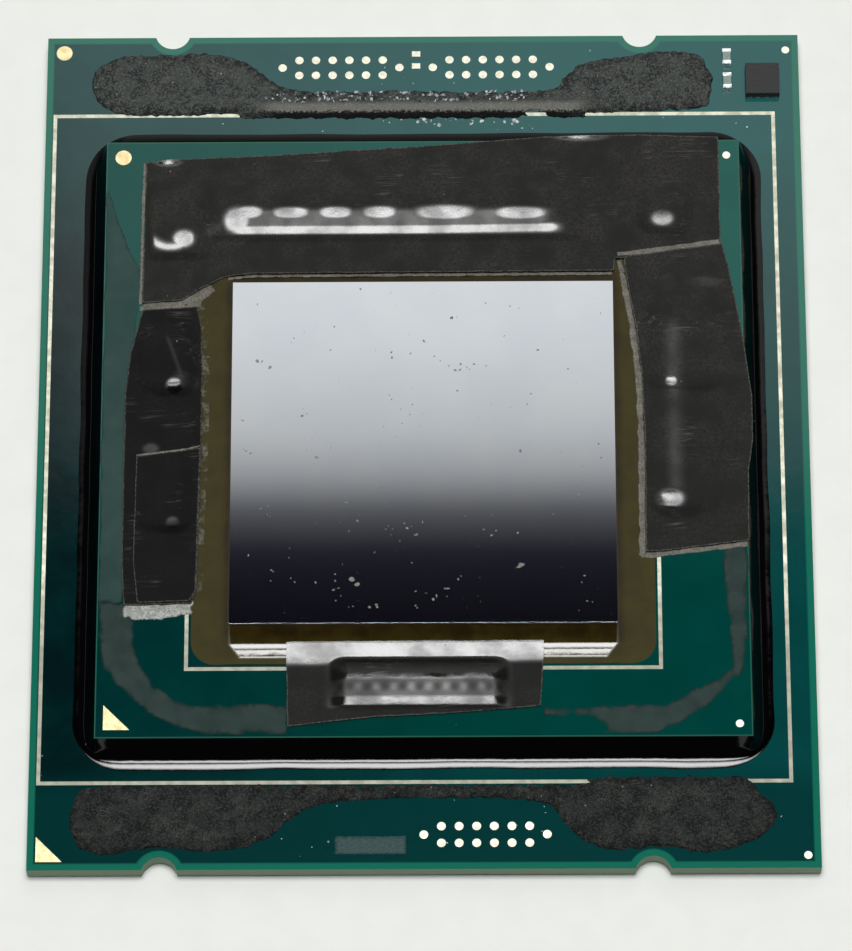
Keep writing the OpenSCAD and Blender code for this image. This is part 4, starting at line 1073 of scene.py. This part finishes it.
# Identity chip: a small moulded memory chip with flat tinned leads, and two chip capacitors next to it.
chip_case = plain_surface("chip_case", 10, 4, (35, 36, 36), (52, 53, 52), 0.5, 0.2, 0.02, gloss=0.4)
dress(chip_case, "identity_chip")
dull_lead = plain_surface("dull_lead", 8, 3, (70, 70, 68), (120, 118, 112), 0.4, 0.2, metallic=1)
dress(dull_lead, "identity_chip_leads")
pale_ceramic = plain_surface(
    "pale_ceramic", 9, 4, (116, 136, 130), (140, 158, 150), 0.4, 0.2, 0.01, gloss=0.4)
dress(pale_ceramic, "identity_capacitors")
dress(solder, "identity_capacitor_ends")

# Marking field: a plain block that a laser has roughened into the mask near the front edge, left blank.
FIELD = [(-5.03, -25.35), (-1.01, -25.35), (-1.01, -24.29), (-5.03, -24.29)]
etched = plain_surface("etched_mask", 9, 5, (34, 60, 62), (64, 84, 84), 0.6, 0.2, 0.01, gloss=0.3)
outline = ragged(FIELD, 0.12, 0.02, 3, 61)
mesh = sheet_solid("marking_field", outline, 0.2, BOARD_TOP + 0.006, BOARD_TOP + 0.001, etched)
place_piece("marking_field", mesh, "package_mask")

# Studio: white paper under the part, a bright wall behind it, a dark ceiling and two soft lamps close
# to straight above. The wall's upper edge is what the die mirrors.
FLOOR_HALF = 3000
scene = bpy.context.scene
paper = plain_surface("paper", 0.5, 5, (233, 235, 230), (236, 238, 233), 0.8, 0.05, gloss=0.2)
corners = [(x * FLOOR_HALF, y * FLOOR_HALF, 0) for x, y in ((-1, -1), (1, -1), (1, 1), (-1, 1))]
floor = new_object("floor", new_mesh("floor", corners, [(0, 1, 2, 3)], paper))

scene.world = bpy.data.worlds.new("studio")
scene.world.use_nodes = True
tree = scene.world.node_tree
x, y, z = parts_of(tree, "ShaderNodeTexCoord", "Generated")
# The wall's light by how far a ray leans to the rear.
WALL_LIGHT = [
    (0.376, 0.003), (0.392, 0.009), (0.3985, 0.023), (0.4029, 0.127), (0.408, 0.327), (0.4133, 0.487),
    (0.426, 0.613), (0.4387, 0.72), (0.46, 0.787), (0.55, 0.787), (1, 0.6), (1.6, 0.42), (2.5, 0.25),
]
first, last = WALL_LIGHT[0][0], WALL_LIGHT[-1][0]
lean = calc("DIVIDE", y, calc("MAXIMUM", z, 0.001))
along = add(tree, "ShaderNodeMapRange", {0: lean, 1: first, 2: last}).outputs[0]
wall = add(tree, "ShaderNodeValToRGB", {0: along})
stops = wall.color_ramp.elements
for at, _ in WALL_LIGHT[1:-1]:
    stops.new((at - first) / (last - first))
for stop, (_, level) in zip(stops, WALL_LIGHT):
    blue = 1.0 if level > 0.1 else 1.6
    stop.color = (level, level, blue * level, 1)
aside = calc("DIVIDE", x, calc("MAXIMUM", y, 0.001))
share = times(fade(calc("ABSOLUTE", aside), 1.4, 0.9), fade(aside, -0.195, -0.158, 0.45, 1))
room = mix(fade(z, 0.8, 0.9), (0.03, 0.03, 0.032, 1), (0.004, 0.0045, 0.006, 1))
room = mix(share, room, wall.outputs[0])
seen = add(tree, "ShaderNodeLightPath").outputs["Is Camera Ray"]
tree.links.new(mix(seen, room, (232, 234, 230)), tree.nodes["Background"].inputs["Color"])

LAMP_H, LAMP_W = 0.8, 0.45
SOFT_RINGS = (1.1, 0.92, 0.74, 0.56)
for name, start, end, power in (("lamp_wide", -13, 6, 4.45), ("lamp_narrow", 9, 16, 1.65)):
    y0, y1 = (-LAMP_H * math.tan(math.radians(angle)) for angle in (start, end))
    for ring, share in enumerate(SOFT_RINGS):
        lamp = bpy.data.lights.new(f"{name}_{ring}", "AREA")
        lamp.shape = "ELLIPSE"
        lamp.size, lamp.size_y = share * LAMP_W, share * (y0 - y1)
        lamp.energy = power * share**2 / sum(v**2 for v in SOFT_RINGS)
        new_object(lamp.name, lamp).location = (0, (y0 + y1) / 2, LAMP_H + ring * MM)

# Camera: a long lens from the front, about 68 degrees up, fitted to the photograph's edges.
lens = bpy.data.cameras.new("camera")
lens.sensor_width = 36
lens.lens = 211.58
camera = new_object("camera", lens)
camera.location = (0.0023493, -0.1250123, 0.3022501)
camera.rotation_euler = (0.38737, 0.00787, -0.00143)
scene.camera = camera
scene.view_settings.view_transform = "Standard"
